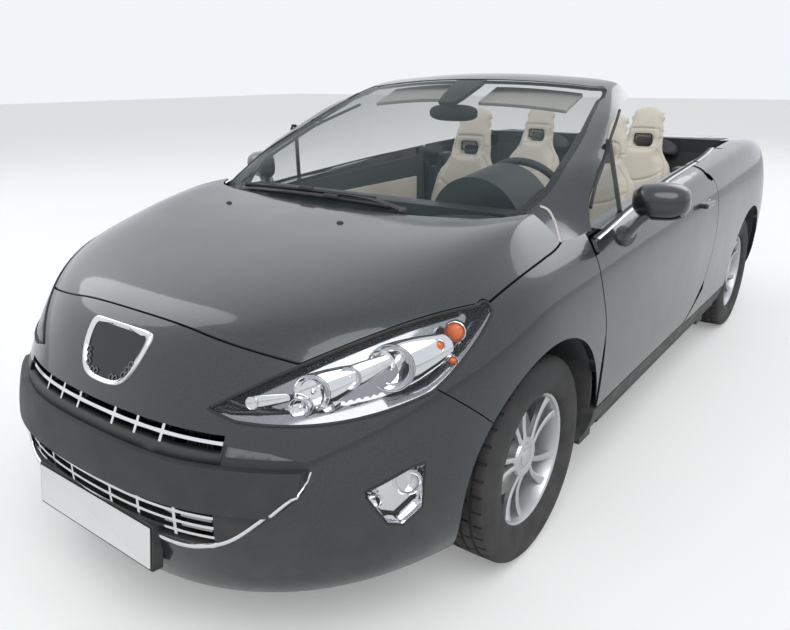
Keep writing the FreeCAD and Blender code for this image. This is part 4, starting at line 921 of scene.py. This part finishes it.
def make_dash_parts():
    """Round vents with vanes, audio panel, heater knobs, and the passenger's lid line."""
    rings, vanes = bmesh.new(), bmesh.new()
    out = Vector((0, 0.93, 0.36)).normalized()
    rise = Vector((0, -0.36, 0.93)).normalized()
    for x in (-0.6, -0.085, 0.085, 0.63):
        middle = Vector((x, -0.612, 0.893))
        turned(rings, [(-0.014, 0.034), (0.003, 0.035), (0.006, 0.038), (0.003, 0.043), (-0.014, 0.044),
                       (-0.014, 0.034)], middle, out, 40)
        for high in (-0.024, -0.012, 0.0, 0.012, 0.024):
            wide = Vector((math.sqrt(max(0.034 ** 2 - high ** 2, 0.0001)), 0, 0))
            rod(vanes, [middle + rise * high - wide, middle + rise * high + wide], 0.001, 0.006, out, 6)
    add_piece("vent_rings", rings, chrome)
    add_piece("vent_vanes", vanes, black_plastic)
    bm = slab(bmesh.new(), (-0.085, -0.566, 0.775), (0.085, -0.552, 0.835))
    slab(bm, (-0.072, -0.556, 0.812), (0.072, -0.5475, 0.828))
    for k in range(6):
        slab(bm, (-0.066 + k * 0.024, -0.556, 0.784), (-0.052 + k * 0.024, -0.5475, 0.794))
    add_piece("audio_panel", bm, black_gloss, bevel=0.0015)
    knobs = bmesh.new()
    for x in (-0.06, 0.0, 0.06):
        turned(knobs, [(0.0, 0.018), (0.014, 0.0165), (0.016, 0.013), (0.0165, 0.0005)], (x, -0.606, 0.69),
               (0, 1, 0.25), 32)
    add_piece("heater_knobs", knobs, alloy)
    line_piece("glovebox_line", ((-0.56, -0.598, 0.745), (-0.56, -0.5935, 0.765), (-0.38, -0.5935, 0.765),
                                 (-0.19, -0.5935, 0.765), (-0.19, -0.598, 0.745)), 0.0015, 0.0015, rubber)


def make_levers():
    """Gear lever in its gaiter, handbrake, the stalks behind the steering wheel, and pedals."""
    foot, lean = (0, -0.33, 0.425), (0, -0.05, 1)
    for name, profile, material in (
            ("gear_gaiter", ((0.0, 0.044), (0.01, 0.042), (0.03, 0.03), (0.048, 0.02), (0.062, 0.012)), dash_skin),
            ("gear_knob", ((0.055, 0.006), (0.11, 0.0055), (0.116, 0.01), (0.13, 0.019), (0.15, 0.022),
                           (0.166, 0.018), (0.172, 0.008), (0.173, 0.0005)), alloy)):
        add_piece(name, turned(bmesh.new(), profile, foot, lean, 32), material)
    line_piece("handbrake", ((0.05, 0.12, 0.428), (0.05, 0.02, 0.452), (0.05, -0.08, 0.47), (0.05, -0.13, 0.476)),
               0.013, 0.015, dash_skin, sides=12)
    bm = bmesh.new()
    for way in (-1, 1):
        rod(bm, smooth_path([(0.37 + out * way, y, z) for out, y, z in (
            (0.022, -0.52, 0.888), (0.08, -0.505, 0.9), (0.14, -0.49, 0.908))]), 0.006, 0.008, sides=10)
    add_piece("column_stalks", bm, black_plastic)
    bm = bmesh.new()
    for x, y in ((0.48, -0.8), (0.36, -0.82), (0.26, -0.82)):
        slab(bm, (x - 0.026, y, 0.3), (x + 0.026, y + 0.012, 0.372))
        rod(bm, [Vector((x, y - 0.002, 0.365)), Vector((x, y - 0.06, 0.52))], 0.006, 0.006)
    add_piece("pedals", bm, rubber, bevel=0.002)


def make_mats():
    """Carpet over the floor and fitted mats with bound edges."""
    carpets, binding = bmesh.new(), bmesh.new()
    for way in (-1, 1):
        x0, x1 = sorted((0.125 * way, 0.69 * way))
        slab(carpets, (x0, -0.9, 0.2205), (x1, 0.69, 0.2265))
        x0, x1 = sorted((0.18 * way, 0.64 * way))
        for y0, y1 in ((-0.86, -0.36), (0.34, 0.66)):
            slab(carpets, (x0, y0, 0.2266), (x1, y1, 0.2345))
            path = [Vector((x, y, 0.2345)) for x, y in ((x0, y0), (x1, y0), (x1, y1), (x0, y1))]
            rod(binding, path, 0.004, 0.003, closed=True)
    slab(carpets, (-0.112, 0.16, 0.3005), (0.112, 0.69, 0.3065))
    add_piece("carpets", carpets, carpet, bevel=0.002)
    add_piece("mat_binding", binding, dash_skin)


def make_header_parts():
    """Visors, interior mirror and sensor cover under the windscreen's top."""
    for (side, way), low in zip(SIDES, (0.0, 0.012)):
        bm = slab(bmesh.new(), (0.08, -0.085, -0.008), (0.47, 0.085, 0.008))
        bmesh.ops.subdivide_edges(bm, edges=bm.edges[:], cuts=4, use_grid_fill=True)
        for vert in bm.verts:
            vert.co.z -= 0.03 * ((vert.co.x - 0.05) / 0.45) ** 2
        place = Matrix.Translation((0, -0.24, 1.333 + low)) @ Matrix.Rotation(math.radians(20), 4, "X")
        bmesh.ops.transform(bm, verts=bm.verts, matrix=place)
        add_piece("visor_" + side, flip_side(bm, way), roof_cloth, bevel=0.005)
    rings = [[Vector((across * wide, -0.395 + back, 1.268 + rise * high)) for across, rise in soft_square(0.7, 32)]
             for back, wide, high in ((-0.014, 0.085, 0.022), (-0.01, 0.108, 0.03), (0.004, 0.116, 0.034),
                                      (0.012, 0.116, 0.034), (0.012, 0.11, 0.029), (0.009, 0.109, 0.028))]
    add_piece("cabin_mirror", loft(bmesh.new(), rings), black_plastic, angle=45)
    bm = rod(bmesh.new(), smooth_path([(0, -0.4, 1.285), (0, -0.4, 1.31), (0, -0.385, 1.335)]), 0.01, 0.01, (0, 1, 0))
    loft(bm, [[Vector((x * s, -0.33 + y * s, 1.368 - rise + y * s * 0.42)) for x, y in (
        (-0.075, 0.1), (0.075, 0.1), (0.055, -0.06), (0.038, -0.12), (-0.038, -0.12), (-0.055, -0.06))]
        for rise, s in ((0.004, 1.0), (0.022, 0.92), (0.032, 0.75))])
    add_piece("sensor_cover", bm, black_plastic, bevel=0.003)


def make_belts(side, way):
    """A dark hump behind the rear seat, a belt guide and a belt."""
    hump = [[Vector(((0.33 + wide * math.cos(t)) * way, y, 0.985 + high * max(math.sin(t), -0.25)))
             for t in turns(24)] for y, wide, high in (
                 (1.215, 0.1, 0.01), (1.235, 0.15, 0.06), (1.262, 0.165, 0.085), (1.288, 0.15, 0.06),
                 (1.3, 0.1, 0.02))]
    add_piece("roll_hoop_" + side, loft(bmesh.new(), hump), black_plastic, angle=60)
    guide = slab(bmesh.new(), (0.655, 0.56, 0.93), (0.695, 0.66, 0.985))
    add_piece("belt_guide_" + side, flip_side(guide, way), black_plastic, bevel=0.012)
    line_piece("belt_" + side, on_side(way, ((0.672, 0.56, 0.96), (0.668, 0.5, 0.8), (0.668, 0.43, 0.5),
                                             (0.668, 0.38, 0.26))), 0.0012, 0.023, rubber, up=(0, 1, 0))


def make_side_panel(side, way):
    """Panel beside the rear seat: cream above, dark below."""
    panel = slab(bmesh.new(), (0.69, 0.62, 0.385), (0.699, 1.285, 0.965))
    add_piece("rear_panel_" + side, flip_side(panel, way), dash_skin, bevel=0.002)
    insert = round_edges(slab(bmesh.new(), (0.68, 0.66, 0.64), (0.69, 1.15, 0.9)), 0.0045)
    add_piece("rear_insert_" + side, flip_side(insert, way), leather, angle=50)


make_wheel_grip()
make_gauges()
make_dash_parts()
make_levers()
make_mats()
make_header_parts()
for make in (make_belts, make_side_panel):
    for side, way in SIDES:
        make(side, way)


# Seats: leather pads filled by a short cloth run, then sewn
BACK_WIDTHS = ((0.0, 0.22), (0.19, 0.25), (0.44, 0.252), (0.61, 0.225), (0.69, 0.165), (0.81, 0.14),
               (0.97, 0.118), (1.0, 0.1))
BACK_LEANS = ((0.0, 0.0), (0.72, 0.161), (1.0, 0.247))
BACK_ROWS, BACK_COLUMNS = 24, 10  # of a back's grid, which runs from -1 to 1 both ways
WINDOW_COLUMN = 0.2  # the grid's columns that the opening lies between
WINDOW_HALF, WINDOW_SIDE = 0.026, 0.056  # half the opening's height and width
PAD_VOXEL = 0.01
PAD_PRESSURE = 4.0
PAD_FRAMES = 20
PAD_SMOOTHINGS = 4
THREAD_SIZE = 0.0012


def between(table, at):
    for (a, low), (b, high) in zip(table, table[1:]):
        if at <= b:
            return low + (high - low) * (at - a) / (b - a)
    return table[-1][1]


def apply_modifiers(obj):
    obj.data = bpy.data.meshes.new_from_object(obj.evaluated_get(bpy.context.evaluated_depsgraph_get()))
    obj.modifiers.clear()


def fill_pad(obj, cap=0.024):
    """Fills a pad with air pressure as cloth, limited to a cap."""
    remesh = obj.modifiers.new("voxels", "REMESH")
    remesh.mode = "VOXEL"
    remesh.voxel_size = PAD_VOXEL
    apply_modifiers(obj)
    start = [vert.co.copy() for vert in obj.data.vertices]
    cloth = obj.modifiers.new("filling", "CLOTH")
    cloth.settings.use_pressure = True
    cloth.settings.uniform_pressure_force = PAD_PRESSURE
    cloth.settings.effector_weights.gravity = 0
    for number in range(1, PAD_FRAMES + 1):
        scene.frame_set(number)
    apply_modifiers(obj)
    scene.frame_set(1)
    for vert, first in zip(obj.data.vertices, start):
        move = vert.co - first
        if move.length > cap:
            vert.co = first + move * (cap / move.length)
    bm = bmesh.new()
    bm.from_mesh(obj.data)
    for _ in range(PAD_SMOOTHINGS):
        bmesh.ops.smooth_vert(bm, verts=bm.verts, factor=0.5, use_axis_x=True, use_axis_y=True, use_axis_z=True)
    bm.to_mesh(obj.data)
    bm.free()
    add_rounding(obj)
    apply_modifiers(obj)


def sew(obj, lines, direction, depth=0.006, width=0.014, start=1.5):
    """Presses sewn channels into a pad and lays a thread in each; lines are points seen along a direction."""
    direction = Vector(direction)
    tree = tree_of(obj.data)
    found, samples = [], []
    for line in lines:
        hits = [tree.ray_cast(point - direction * start, direction)[0] for point in smooth_path(line, 10)]
        path = [hit for hit in hits if hit is not None]
        if len(path) > 2:
            found.append(path)
            samples += [a.lerp(b, k / 4) for a, b in zip(path, path[1:]) for k in range(4)]
    near = KDTree(len(samples))
    for number, place in enumerate(samples):
        near.insert(place, number)
    near.balance()
    for vert in obj.data.vertices:
        away = near.find(vert.co)[2]
        if away < width:
            vert.co += direction * (depth * (1 - away / width) ** 2)
    bm = bmesh.new()
    for path in found:
        rod(bm, [place + direction * (depth - THREAD_SIZE) for place in path], THREAD_SIZE, THREAD_SIZE,
            (0.1, 0.3, 1), 6)
    return bm


def finish_pad(obj, threads=None, stands_for=None):
    obj.data.materials.clear()
    obj.data.materials.append(leather)
    obj.data.shade_smooth()
    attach(obj, "body")
    if stands_for:
        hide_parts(stands_for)
    if threads:
        stem, pair, side = obj.name.rpartition("_l")
        add_piece(stem + "_thread_l" if pair and not side else obj.name + "_thread", threads, thread)


def make_back(name, x, y, base, top, wide, window_z, stands_for=None):
    """A one-piece seat back with side bolsters and an opening below the head restraint."""
    rise = top - base
    heights = [base + rise * k / BACK_ROWS for k in range(BACK_ROWS + 1)]
    below = max(k for k in range(BACK_ROWS + 1) if heights[k] < window_z)
    heights[below], heights[below + 1] = window_z - WINDOW_HALF, window_z + WINDOW_HALF
    bm = bmesh.new()
    bmesh.ops.create_grid(bm, x_segments=BACK_COLUMNS, y_segments=BACK_ROWS, size=1)
    opening = [face for face in bm.faces if abs(face.calc_center_median().x) < WINDOW_COLUMN
               and round((face.calc_center_median().y + 1) * BACK_ROWS / 2 - 0.5) == below]
    bmesh.ops.delete(bm, geom=opening, context="FACES")
    made = bmesh.ops.extrude_face_region(bm, geom=bm.faces[:])["geom"]
    rear = {item for item in made if isinstance(item, bmesh.types.BMVert)}
    for vert in bm.verts:
        u, row = vert.co.x, round((vert.co.y + 1) * BACK_ROWS / 2)
        v = (heights[row] - base) / rise
        offset = u * (between(BACK_WIDTHS, min(max(v, 0), 1)) * wide - 0.012)
        if abs(abs(u) - WINDOW_COLUMN) < 0.01 and row in (below, below + 1):
            offset = math.copysign(WINDOW_SIDE, u)
        bolster = math.exp(-((abs(u) - 0.82) / 0.16) ** 2) * max(0.0, min(1.0, (0.66 - v) * 8))
        if vert in rear:
            depth = 0.116 + 0.197 * v - 0.03 * abs(u) ** 4
        else:
            depth = between(BACK_LEANS, v) + 0.032 + 0.03 * abs(u) ** 6 - 0.03 * bolster
        top_drop = 0.012 * (1 + 2 * abs(u) ** 3) if row == BACK_ROWS else 0.0
        vert.co = (x + offset, y + depth, heights[row] - top_drop)
    obj = add_raw(name, bm)
    fill_pad(obj)

    def at(a, v):
        return Vector((x + a * wide, 0, base + v * rise))

    def by_window(*points):
        return [Vector((x + a, 0, window_z + z)) for a, z in points]

    lines = [by_window((-0.088, 0), (-0.08, 0.044), (-0.055, 0.052), (0.055, 0.052), (0.08, 0.044), (0.088, 0),
                       (0.078, -0.044), (0.05, -0.052), (-0.05, -0.052), (-0.078, -0.044), (-0.088, 0)),
             by_window((-0.088, 0), (-0.12, 0), (-0.16, 0)), by_window((0.088, 0), (0.12, 0), (0.16, 0))]
    for way in (-1, 1):
        lines.append([at(way * a, v) for a, v in ((0.165, 0.1), (0.168, 0.35), (0.16, 0.58), (0.12, 0.66),
                                                  (0.095, 0.7))])
        lines.append([at(way * 0.16, 0.58), at(way * 0.09, 0.53), at(0.0, 0.505)])
    for side_v, middle_v in ((0.28, 0.26), (0.42, 0.39)):
        lines.append([at(-0.165, side_v), at(0.0, middle_v), at(0.165, side_v)])
    finish_pad(obj, sew(obj, lines, (0, 1, 0)), stands_for)
    frame_y = y + between(BACK_LEANS, (window_z - base) / rise) + 0.035
    path = [Vector((x + a, frame_y, window_z + z)) for a, z in (
        (-0.046, 0.018), (-0.04, 0.023), (0.04, 0.023), (0.046, 0.018), (0.046, -0.018), (0.04, -0.023),
        (-0.04, -0.023), (-0.046, -0.018))]
    add_piece(name + "_lining", rod(bmesh.new(), path, 0.011, 0.004, closed=True), black_plastic)


def make_cushion(name, x, low_y, high_y, low_z, high_z, half, bolster):
    """A seat cushion: a centre pad between two bolsters."""
    drop = 0.022 if bolster else 0.0
    bm = slab(bmesh.new(), (x - half + 0.012 + bolster, low_y + 0.014, low_z + 0.006),
              (x + half - 0.012 - bolster, high_y - 0.012, high_z - drop - 0.014))
    if bolster:
        for way in (-1, 1):
            inner, outer_x = x + way * (half - bolster - 0.006), x + way * (half - 0.012)
            slab(bm, (min(inner, outer_x), low_y + 0.03, low_z + 0.006),
                 (max(inner, outer_x), high_y - 0.012, high_z - 0.012))
    obj = add_raw(name, round_edges(bm, 0.016))
    fill_pad(obj, 0.022)
    inner = half - bolster - 0.004
    lines = []
    if bolster:
        lines = [[Vector((x + way * inner, y, 0)) for y in (low_y + 0.02, (low_y + high_y) / 2, high_y - 0.03)]
                 for way in (-1, 1)]
    for share in (0.35, 0.62):
        across = low_y + (high_y - low_y) * share
        lines.append([Vector((x - inner + 0.01, across, 0)), Vector((x, across - 0.012, 0)),
                      Vector((x + inner - 0.01, across, 0))])
    finish_pad(obj, sew(obj, lines, (0, 0, -1), depth=0.005))


def make_middle_back():
    bm = slab(bmesh.new(), (-0.094, 0.962, 0.5), (0.094, 1.055, 0.89))
    bmesh.ops.translate(bm, verts=[vert for vert in bm.verts if vert.co.z > 0.8], vec=(0, 0.055, 0))
    obj = add_raw("rear_middle_back", round_edges(bm, 0.018))
    fill_pad(obj, 0.016)
    finish_pad(obj)


def make_seat_base(side, way):
    """Dark rails and a side cover under the front cushion, with the recline wheel."""
    bm = bmesh.new()
    for x in (0.205, 0.535):
        slab(bm, (x * way - 0.018, -0.3, 0.222), (x * way + 0.018, 0.18, 0.29))
    slab(bm, (0.35 * way - 0.14, -0.27, 0.235), (0.35 * way + 0.18, 0.15, 0.29))
    slab(bm, (0.632 * way - 0.008, -0.26, 0.285), (0.632 * way + 0.008, 0.2, 0.36))
    add_piece("seat_base_" + side, bm, black_plastic, bevel=0.004)
    bm = turned(bmesh.new(), [(0.0, 0.03), (0.012, 0.031), (0.016, 0.027), (0.017, 0.0005)], (0.64 * way, 0.12, 0.33),
                (way, 0, 0), 40)
    add_piece("recline_knob_" + side, bm, black_plastic)


# Places of the pads: x, y from front to rear, z from base to top, and widths
make_back("front_back_l", 0.37, 0.17, 0.345, 1.283, 1.0, 1.054, "seat_front_l")
add_twin("front_back", stands_for="seat_front_r")
make_cushion("front_cushion_l", 0.37, -0.33, 0.215, 0.285, 0.43, 0.255, 0.085)
add_twin("front_cushion")
make_back("rear_back_l", 0.33, 0.905, 0.405, 1.273, 0.92, 1.072, "seat_rear")
add_twin("rear_back")
make_cushion("rear_cushion_l", 0.33, 0.735, 0.96, 0.384, 0.52, 0.228, 0.06)
add_twin("rear_cushion")
make_cushion("rear_middle", 0.0, 0.74, 0.985, 0.384, 0.5, 0.098, 0.0)
for stem in ("front_back_thread", "front_cushion_thread", "rear_back_thread", "rear_cushion_thread"):
    add_twin(stem)
for stem in ("front_back", "rear_back"):
    add_twin(stem, "_lining")
make_middle_back()
for side, way in SIDES:
    make_seat_base(side, way)


# Outside trim
def make_mirror(side, way):
    """A door mirror: squarish painted shell, glass behind, dark split line, stem, base and side repeater."""
    body = "door_" + side
    place = Matrix.Translation((0.955 * way, -0.6, 1.016)) @ Matrix.Rotation(math.radians(18 * way), 4, "Z")

    def rings(*rows, drop=0.0):
        outline = soft_square(2 / 2.8, 40)
        return [[place @ Vector((across * wide, back, rise * high + drop)) for across, rise in outline]
                for back, wide, high in rows]

    shell = rings((-0.062, 0.022, 0.014), (-0.058, 0.044, 0.028), (-0.046, 0.068, 0.043), (-0.022, 0.086, 0.056),
                  (0.004, 0.0925, 0.06), (0.022, 0.094, 0.061), (0.02, 0.087, 0.055), (0.002, 0.084, 0.052))
    add_piece("mirror_shell_" + side, loft(bmesh.new(), shell), paint, body, angle=50)
    glass = rings((0.006, 0.0838, 0.0518), (0.009, 0.0825, 0.0505), (0.0095, 0.081, 0.049))
    add_piece("mirror_glass_" + side, loft(bmesh.new(), glass), mirror_glass, body, angle=30)
    split = rings((-0.036, 0.0768, 0.0478), (-0.02, 0.0872, 0.0555), drop=-0.0035)
    bm = loft(bmesh.new(), split + rings((-0.019, 0.0875, 0.0556), drop=-0.0036), caps=False)
    high = [v for v in bm.verts if (place.inverted() @ v.co).z > -0.038]
    bmesh.ops.delete(bm, geom=high, context="VERTS")
    add_piece("mirror_split_" + side, bm, black_gloss, body, wall=0.0012)
    path = smooth_path(on_side(way, ((0.862, -0.64, 0.868), (0.876, -0.636, 0.908), (0.898, -0.628, 0.946),
                                     (0.925, -0.618, 0.974))))
    rows = []
    for k, middle in enumerate(path):
        share = k / (len(path) - 1)
        thick = 0.011 + 0.008 * share
        rows.append((middle, (way * thick, 0, -thick * 0.4), (0, 0.046 - 0.012 * share, 0)))
    add_piece("mirror_stem_" + side, ovals(bmesh.new(), rows, 24), paint, body, angle=50,
              stands_for="mirror_" + side)
    rows = [((x * way, -0.655, 0.894), (0, deep, 0), (0, 0, high)) for x, deep, high in (
        (0.845, 0.078, 0.036), (0.876, 0.072, 0.033), (0.882, 0.064, 0.027), (0.884, 0.05, 0.02))]
    add_piece("mirror_base_" + side, ovals(bmesh.new(), rows, 28), black_plastic, body, angle=40)
    bm = bmesh.new()
    bmesh.ops.create_uvsphere(bm, u_segments=24, v_segments=12, radius=1.0)
    bmesh.ops.scale(bm, verts=bm.verts, vec=(0.006, 0.01, 0.018))
    bmesh.ops.translate(bm, verts=bm.verts, vec=(0.887 * way, -0.694, 0.898))
    add_piece("side_repeater_" + side, bm, lens_glass, body)


def make_waist(side, way):
    """Chrome line and rubber along the top of the door and the quarter."""
    for name, body, points in (
            ("waist_door_", "door_" + side, ((0.843, -0.858, 0.922), (0.84, -0.76, 0.933), (0.826, -0.56, 0.953),
                                             (0.808, -0.26, 0.977), (0.794, 0.05, 0.999), (0.785, 0.28, 1.01),
                                             (0.778, 0.505, 1.022))),
            ("waist_quarter_", "body", ((0.777, 0.535, 1.024), (0.77, 0.66, 1.031), (0.757, 0.8, 1.037),
                                        (0.736, 0.99, 1.046)))):
        line_piece(name + side, on_side(way, points), 0.0075, 0.0035, chrome, body)
        line_piece(name + "rubber_" + side, [((x - 0.013) * way, y, z + 0.001) for x, y, z in points], 0.006, 0.004,
                   rubber, body)


def make_quarterlight_frame(side, way):
    outline = ((-0.838, 0.915), (-0.838, 0.968), (-0.79, 1.045), (-0.712, 1.106), (-0.6, 1.166), (-0.586, 1.205),
               (-0.572, 1.205), (-0.52, 0.935))
    path = [Vector(((0.797 - (z - 0.915) * 0.172) * way, y, z)) for y, z in outline]
    add_piece("quarterlight_seal_" + side, rod(bmesh.new(), path, 0.006, 0.006, (0, 0.1, 1)), rubber, "door_" + side)
    post = [path[-2] + Vector((0, 0.004, -0.004)), path[-1] + Vector((0, 0.006, 0))]
    add_piece("quarterlight_post_" + side, rod(bmesh.new(), post, 0.008, 0.01, (0, 1, 0.2)), black_plastic,
              "door_" + side)


def make_door_trim(side, way):
    """Inner door panel: moulded dark skin, cream insert, armrest and pull."""
    body = "door_" + side
    bm = slab(bmesh.new(), (0.744, -0.72, 0.37), (0.752, 0.48, 0.925))
    bmesh.ops.subdivide_edges(bm, edges=bm.edges[:], cuts=3, use_grid_fill=True)
    for vert in bm.verts:
        vert.co.x -= 0.006 * math.sin(math.pi * min(1, max(0, (vert.co.z - 0.37) / 0.555)))
        if vert.co.z > 0.9:
            vert.co.z += (vert.co.y + 0.8) * 0.045
    add_piece("door_panel_" + side, flip_side(bm, way), dash_skin, body, bevel=0.002)
    insert = round_edges(slab(bmesh.new(), (0.732, -0.56, 0.655), (0.742, 0.4, 0.86)), 0.0045)
    add_piece("door_insert_" + side, flip_side(insert, way), leather, body, angle=50)
    line_piece("door_armrest_" + side, on_side(way, (
        (0.738, -0.42, 0.64), (0.716, -0.38, 0.648), (0.708, -0.1, 0.65), (0.712, 0.18, 0.645), (0.738, 0.3, 0.632))),
        0.026, 0.018, dash_skin, body, sides=16)
    line_piece("door_pull_" + side, on_side(way, ((0.73, -0.6, 0.8), (0.716, -0.575, 0.802), (0.716, -0.505, 0.804),
                                                  (0.728, -0.48, 0.804))), 0.006, 0.01, chrome, body, sides=12)


def make_door_lock(side, way):
    lock = [(0.0, 0.0105), (0.003, 0.01), (0.0035, 0.007), (0.002, 0.0065), (0.002, 0.0005)]
    add_piece("door_lock_" + side, turned(bmesh.new(), lock, (0.8915 * way, 0.366, 0.871), (way, 0, 0.1), 32), chrome,
              "door_" + side)


def make_pillar_seals(side, way):
    """Rubber and pale seal lines at the foot and along the rear edge of the windscreen pillar."""
    line_piece("pillar_seal_" + side, on_side(way, (
        (0.693, -0.977, 1.03), (0.717, -0.968, 1.019), (0.745, -0.981, 0.992), (0.775, -1.02, 0.966),
        (0.802, -1.058, 0.945))), 0.0045, 0.003, roof_cloth, up=(0.5, -0.5, 0.7))
    rear = ((0.802, -0.812, 1.012), (0.782, -0.73, 1.073), (0.76, -0.618, 1.128), (0.726, -0.48, 1.196),
            (0.69, -0.335, 1.246), (0.658, -0.215, 1.286))
    line_piece("pillar_rubber_" + side, [((x - 0.01) * way, y + 0.004, z - 0.002) for x, y, z in rear], 0.007, 0.005,
               rubber, up=(1, 0, 0.3))


def make_sill(side, way):
    line_piece("sill_strip_" + side, on_side(way, ((0.866, -0.8, 0.262), (0.864, -0.5, 0.262), (0.863, 0, 0.262),
                                                   (0.863, 0.48, 0.262), (0.862, 0.83, 0.262))),
               0.012, 0.01, black_plastic)


def make_windscreen_trim():
    skin = outer_skin("windscreen", Vector((0, 0.45, -0.9)).normalized(), 0.3)
    edge = rim_points(skin, 0.02)
    skin.free()
    middle = sum(edge, Vector()) / len(edge)
    add_seal("windscreen_seal", edge, 0.004)
    band = [point + (middle - point).normalized() * (0.016 if point.y > -0.9 else 0.03) + Vector((0, 0.003, -0.0065))
            for point in edge]
    bm = rod(bmesh.new(), band, 0.014, 0.0012, (0, -0.45, 0.9), closed=True)
    add_piece("windscreen_border", bm, black_gloss)


def make_wipers():
    """Two arms with blades parked along the foot of the windscreen, and two washer jets."""
    out = (0, -0.4, 0.9)
    for name, pivot, bend, low, high in (
            ("left", (0.268, -1.121, 0.99), (0.08, -1.093, 1.012), (-0.535, -1.083, 1.01), (0.13, -1.092, 1.018)),
            ("right", (-0.56, -1.098, 0.986), (-0.44, -1.098, 0.998), (-0.33, -1.105, 1.002), (0.21, -1.118, 0.999))):
        low, high, lift = Vector(low), Vector(high), Vector((0, 0, 0.006))
        middle = low.lerp(high, 0.5) + Vector((0, 0.002, 0.008))
        bm = turned(bmesh.new(), [(-0.02, 0.016), (0.004, 0.016), (0.01, 0.012), (0.012, 0.0005)], pivot, out, 28)
        rod(bm, smooth_path([Vector(pivot) + lift, Vector(bend) + lift, middle]), 0.009, 0.0045, out)
        add_piece("wiper_arm_" + name, bm, black_plastic)
        blade = [low.lerp(high, k / 12) + Vector((0, 0, 0.004 * math.sin(math.pi * k / 12))) for k in range(13)]
        bm = rod(bmesh.new(), blade, 0.005, 0.007, out)
        turned(bm, [(-0.035, 0.006), (-0.03, 0.011), (0.03, 0.011), (0.035, 0.006)], middle, (1, 0, 0), 16)
        add_piece("wiper_blade_" + name, bm, rubber)
    for name, x, y, z in (("washer_1", -0.395, -1.297, 0.979), ("washer_2", 0.157, -1.314, 0.971)):
        rows = [((x, y, z + rise), (size * 1.1, 0, 0), (0, size * 0.8, 0)) for rise, size in (
            (-0.004, 0.012), (0.002, 0.012), (0.006, 0.009), (0.008, 0.004))]
        add_piece(name, ovals(bmesh.new(), rows, 20), black_plastic, "bonnet")


def make_rear():
    """Tail pipe's bright tip, lid handle, high brake light and reflectors."""
    pipe = [(-0.02, 0.028), (0.06, 0.032), (0.064, 0.0325), (0.066, 0.031), (0.064, 0.0295), (0.0, 0.0262),
            (-0.02, 0.0262), (-0.02, 0.028)]
    add_piece("tail_pipe_tip", turned(bmesh.new(), pipe, (0.33, 2.118, 0.2472), (0, 0.993, -0.119), 48), chrome)
    line_piece("boot_trim", ((-0.3, 2.134, 0.8), (-0.15, 2.137, 0.801), (0, 2.138, 0.802), (0.15, 2.137, 0.801),
                             (0.3, 2.134, 0.8)), 0.006, 0.011, chrome, "boot_lid")
    line_piece("high_brake_light", ((-0.2, 2.091, 0.98), (0, 2.095, 0.981), (0.2, 2.091, 0.98)), 0.006, 0.009,
               lamp_red, "boot_lid")
    for side, way in SIDES:
        line_piece("rear_reflector_" + side, on_side(way, ((0.5, 2.138, 0.365), (0.56, 2.122, 0.365),
                                                           (0.64, 2.09, 0.365))), 0.006, 0.015, lamp_red)


for make in (make_mirror, make_waist, make_quarterlight_frame, make_door_trim, make_door_lock, make_pillar_seals,
             make_sill):
    for side, way in SIDES:
        make(side, way)
make_windscreen_trim()
make_wipers()
make_rear()


# Studio: plain pale floor, plain soft light
WORLD_SHADE, WORLD_WHITE = 0.62, 0.95  # as light on the car, and as seen or reflected
FLOOR_GLOW = 0.22
LAMPS = (  # place, size and power
    ("key", (5.0, -5.5, 8.5), 9.0, 480), ("side", (-8.5, -2.0, 7.0), 7.0, 170), ("rear", (2.0, 9.0, 7.5), 7.0, 170))


def add_studio():
    world = bpy.data.worlds.new("studio")
    world.use_nodes = True
    tree = world.node_tree
    path = tree.nodes.new("ShaderNodeLightPath").outputs
    seen = calculate(tree, "MAXIMUM", path["Is Camera Ray"], path["Is Glossy Ray"])
    seen = calculate(tree, "MAXIMUM", seen, path["Is Transmission Ray"])
    back = tree.nodes["Background"].inputs
    tree.links.new(stretch(tree, seen, 0.0, 1.0, WORLD_SHADE, WORLD_WHITE), back["Strength"])
    back["Color"].default_value = (0.93, 0.96, 1.0, 1)
    scene.world = world
    bm = bmesh.new()
    bmesh.ops.create_grid(bm, x_segments=2, y_segments=2, size=40)
    floor = add_raw("floor", bm)
    paper = surface("floor_paper", (0.8, 0.8, 0.79), (0.9, 0.97), 0.01, 2.0)
    floor.data.materials.append(paper)
    tree = paper.node_tree
    glow = tree.nodes["Principled BSDF"].inputs
    glow["Emission Color"].default_value = (1.0, 1.0, 1.0, 1)
    seen = tree.nodes.new("ShaderNodeLightPath").outputs["Is Camera Ray"]
    tree.links.new(calculate(tree, "MULTIPLY", seen, FLOOR_GLOW), glow["Emission Strength"])
    for name, place, size, energy in LAMPS:
        data = bpy.data.lights.new(name, "AREA")
        data.energy, data.size, data.shape = energy, size, "DISK"
        turn = (Vector((0, 0, 0.5)) - Vector(place)).to_track_quat("-Z", "Y")
        link_object(name, data).matrix_world = Matrix.Translation(place) @ turn.to_matrix().to_4x4()


add_studio()
scene.view_settings.view_transform = "Standard"
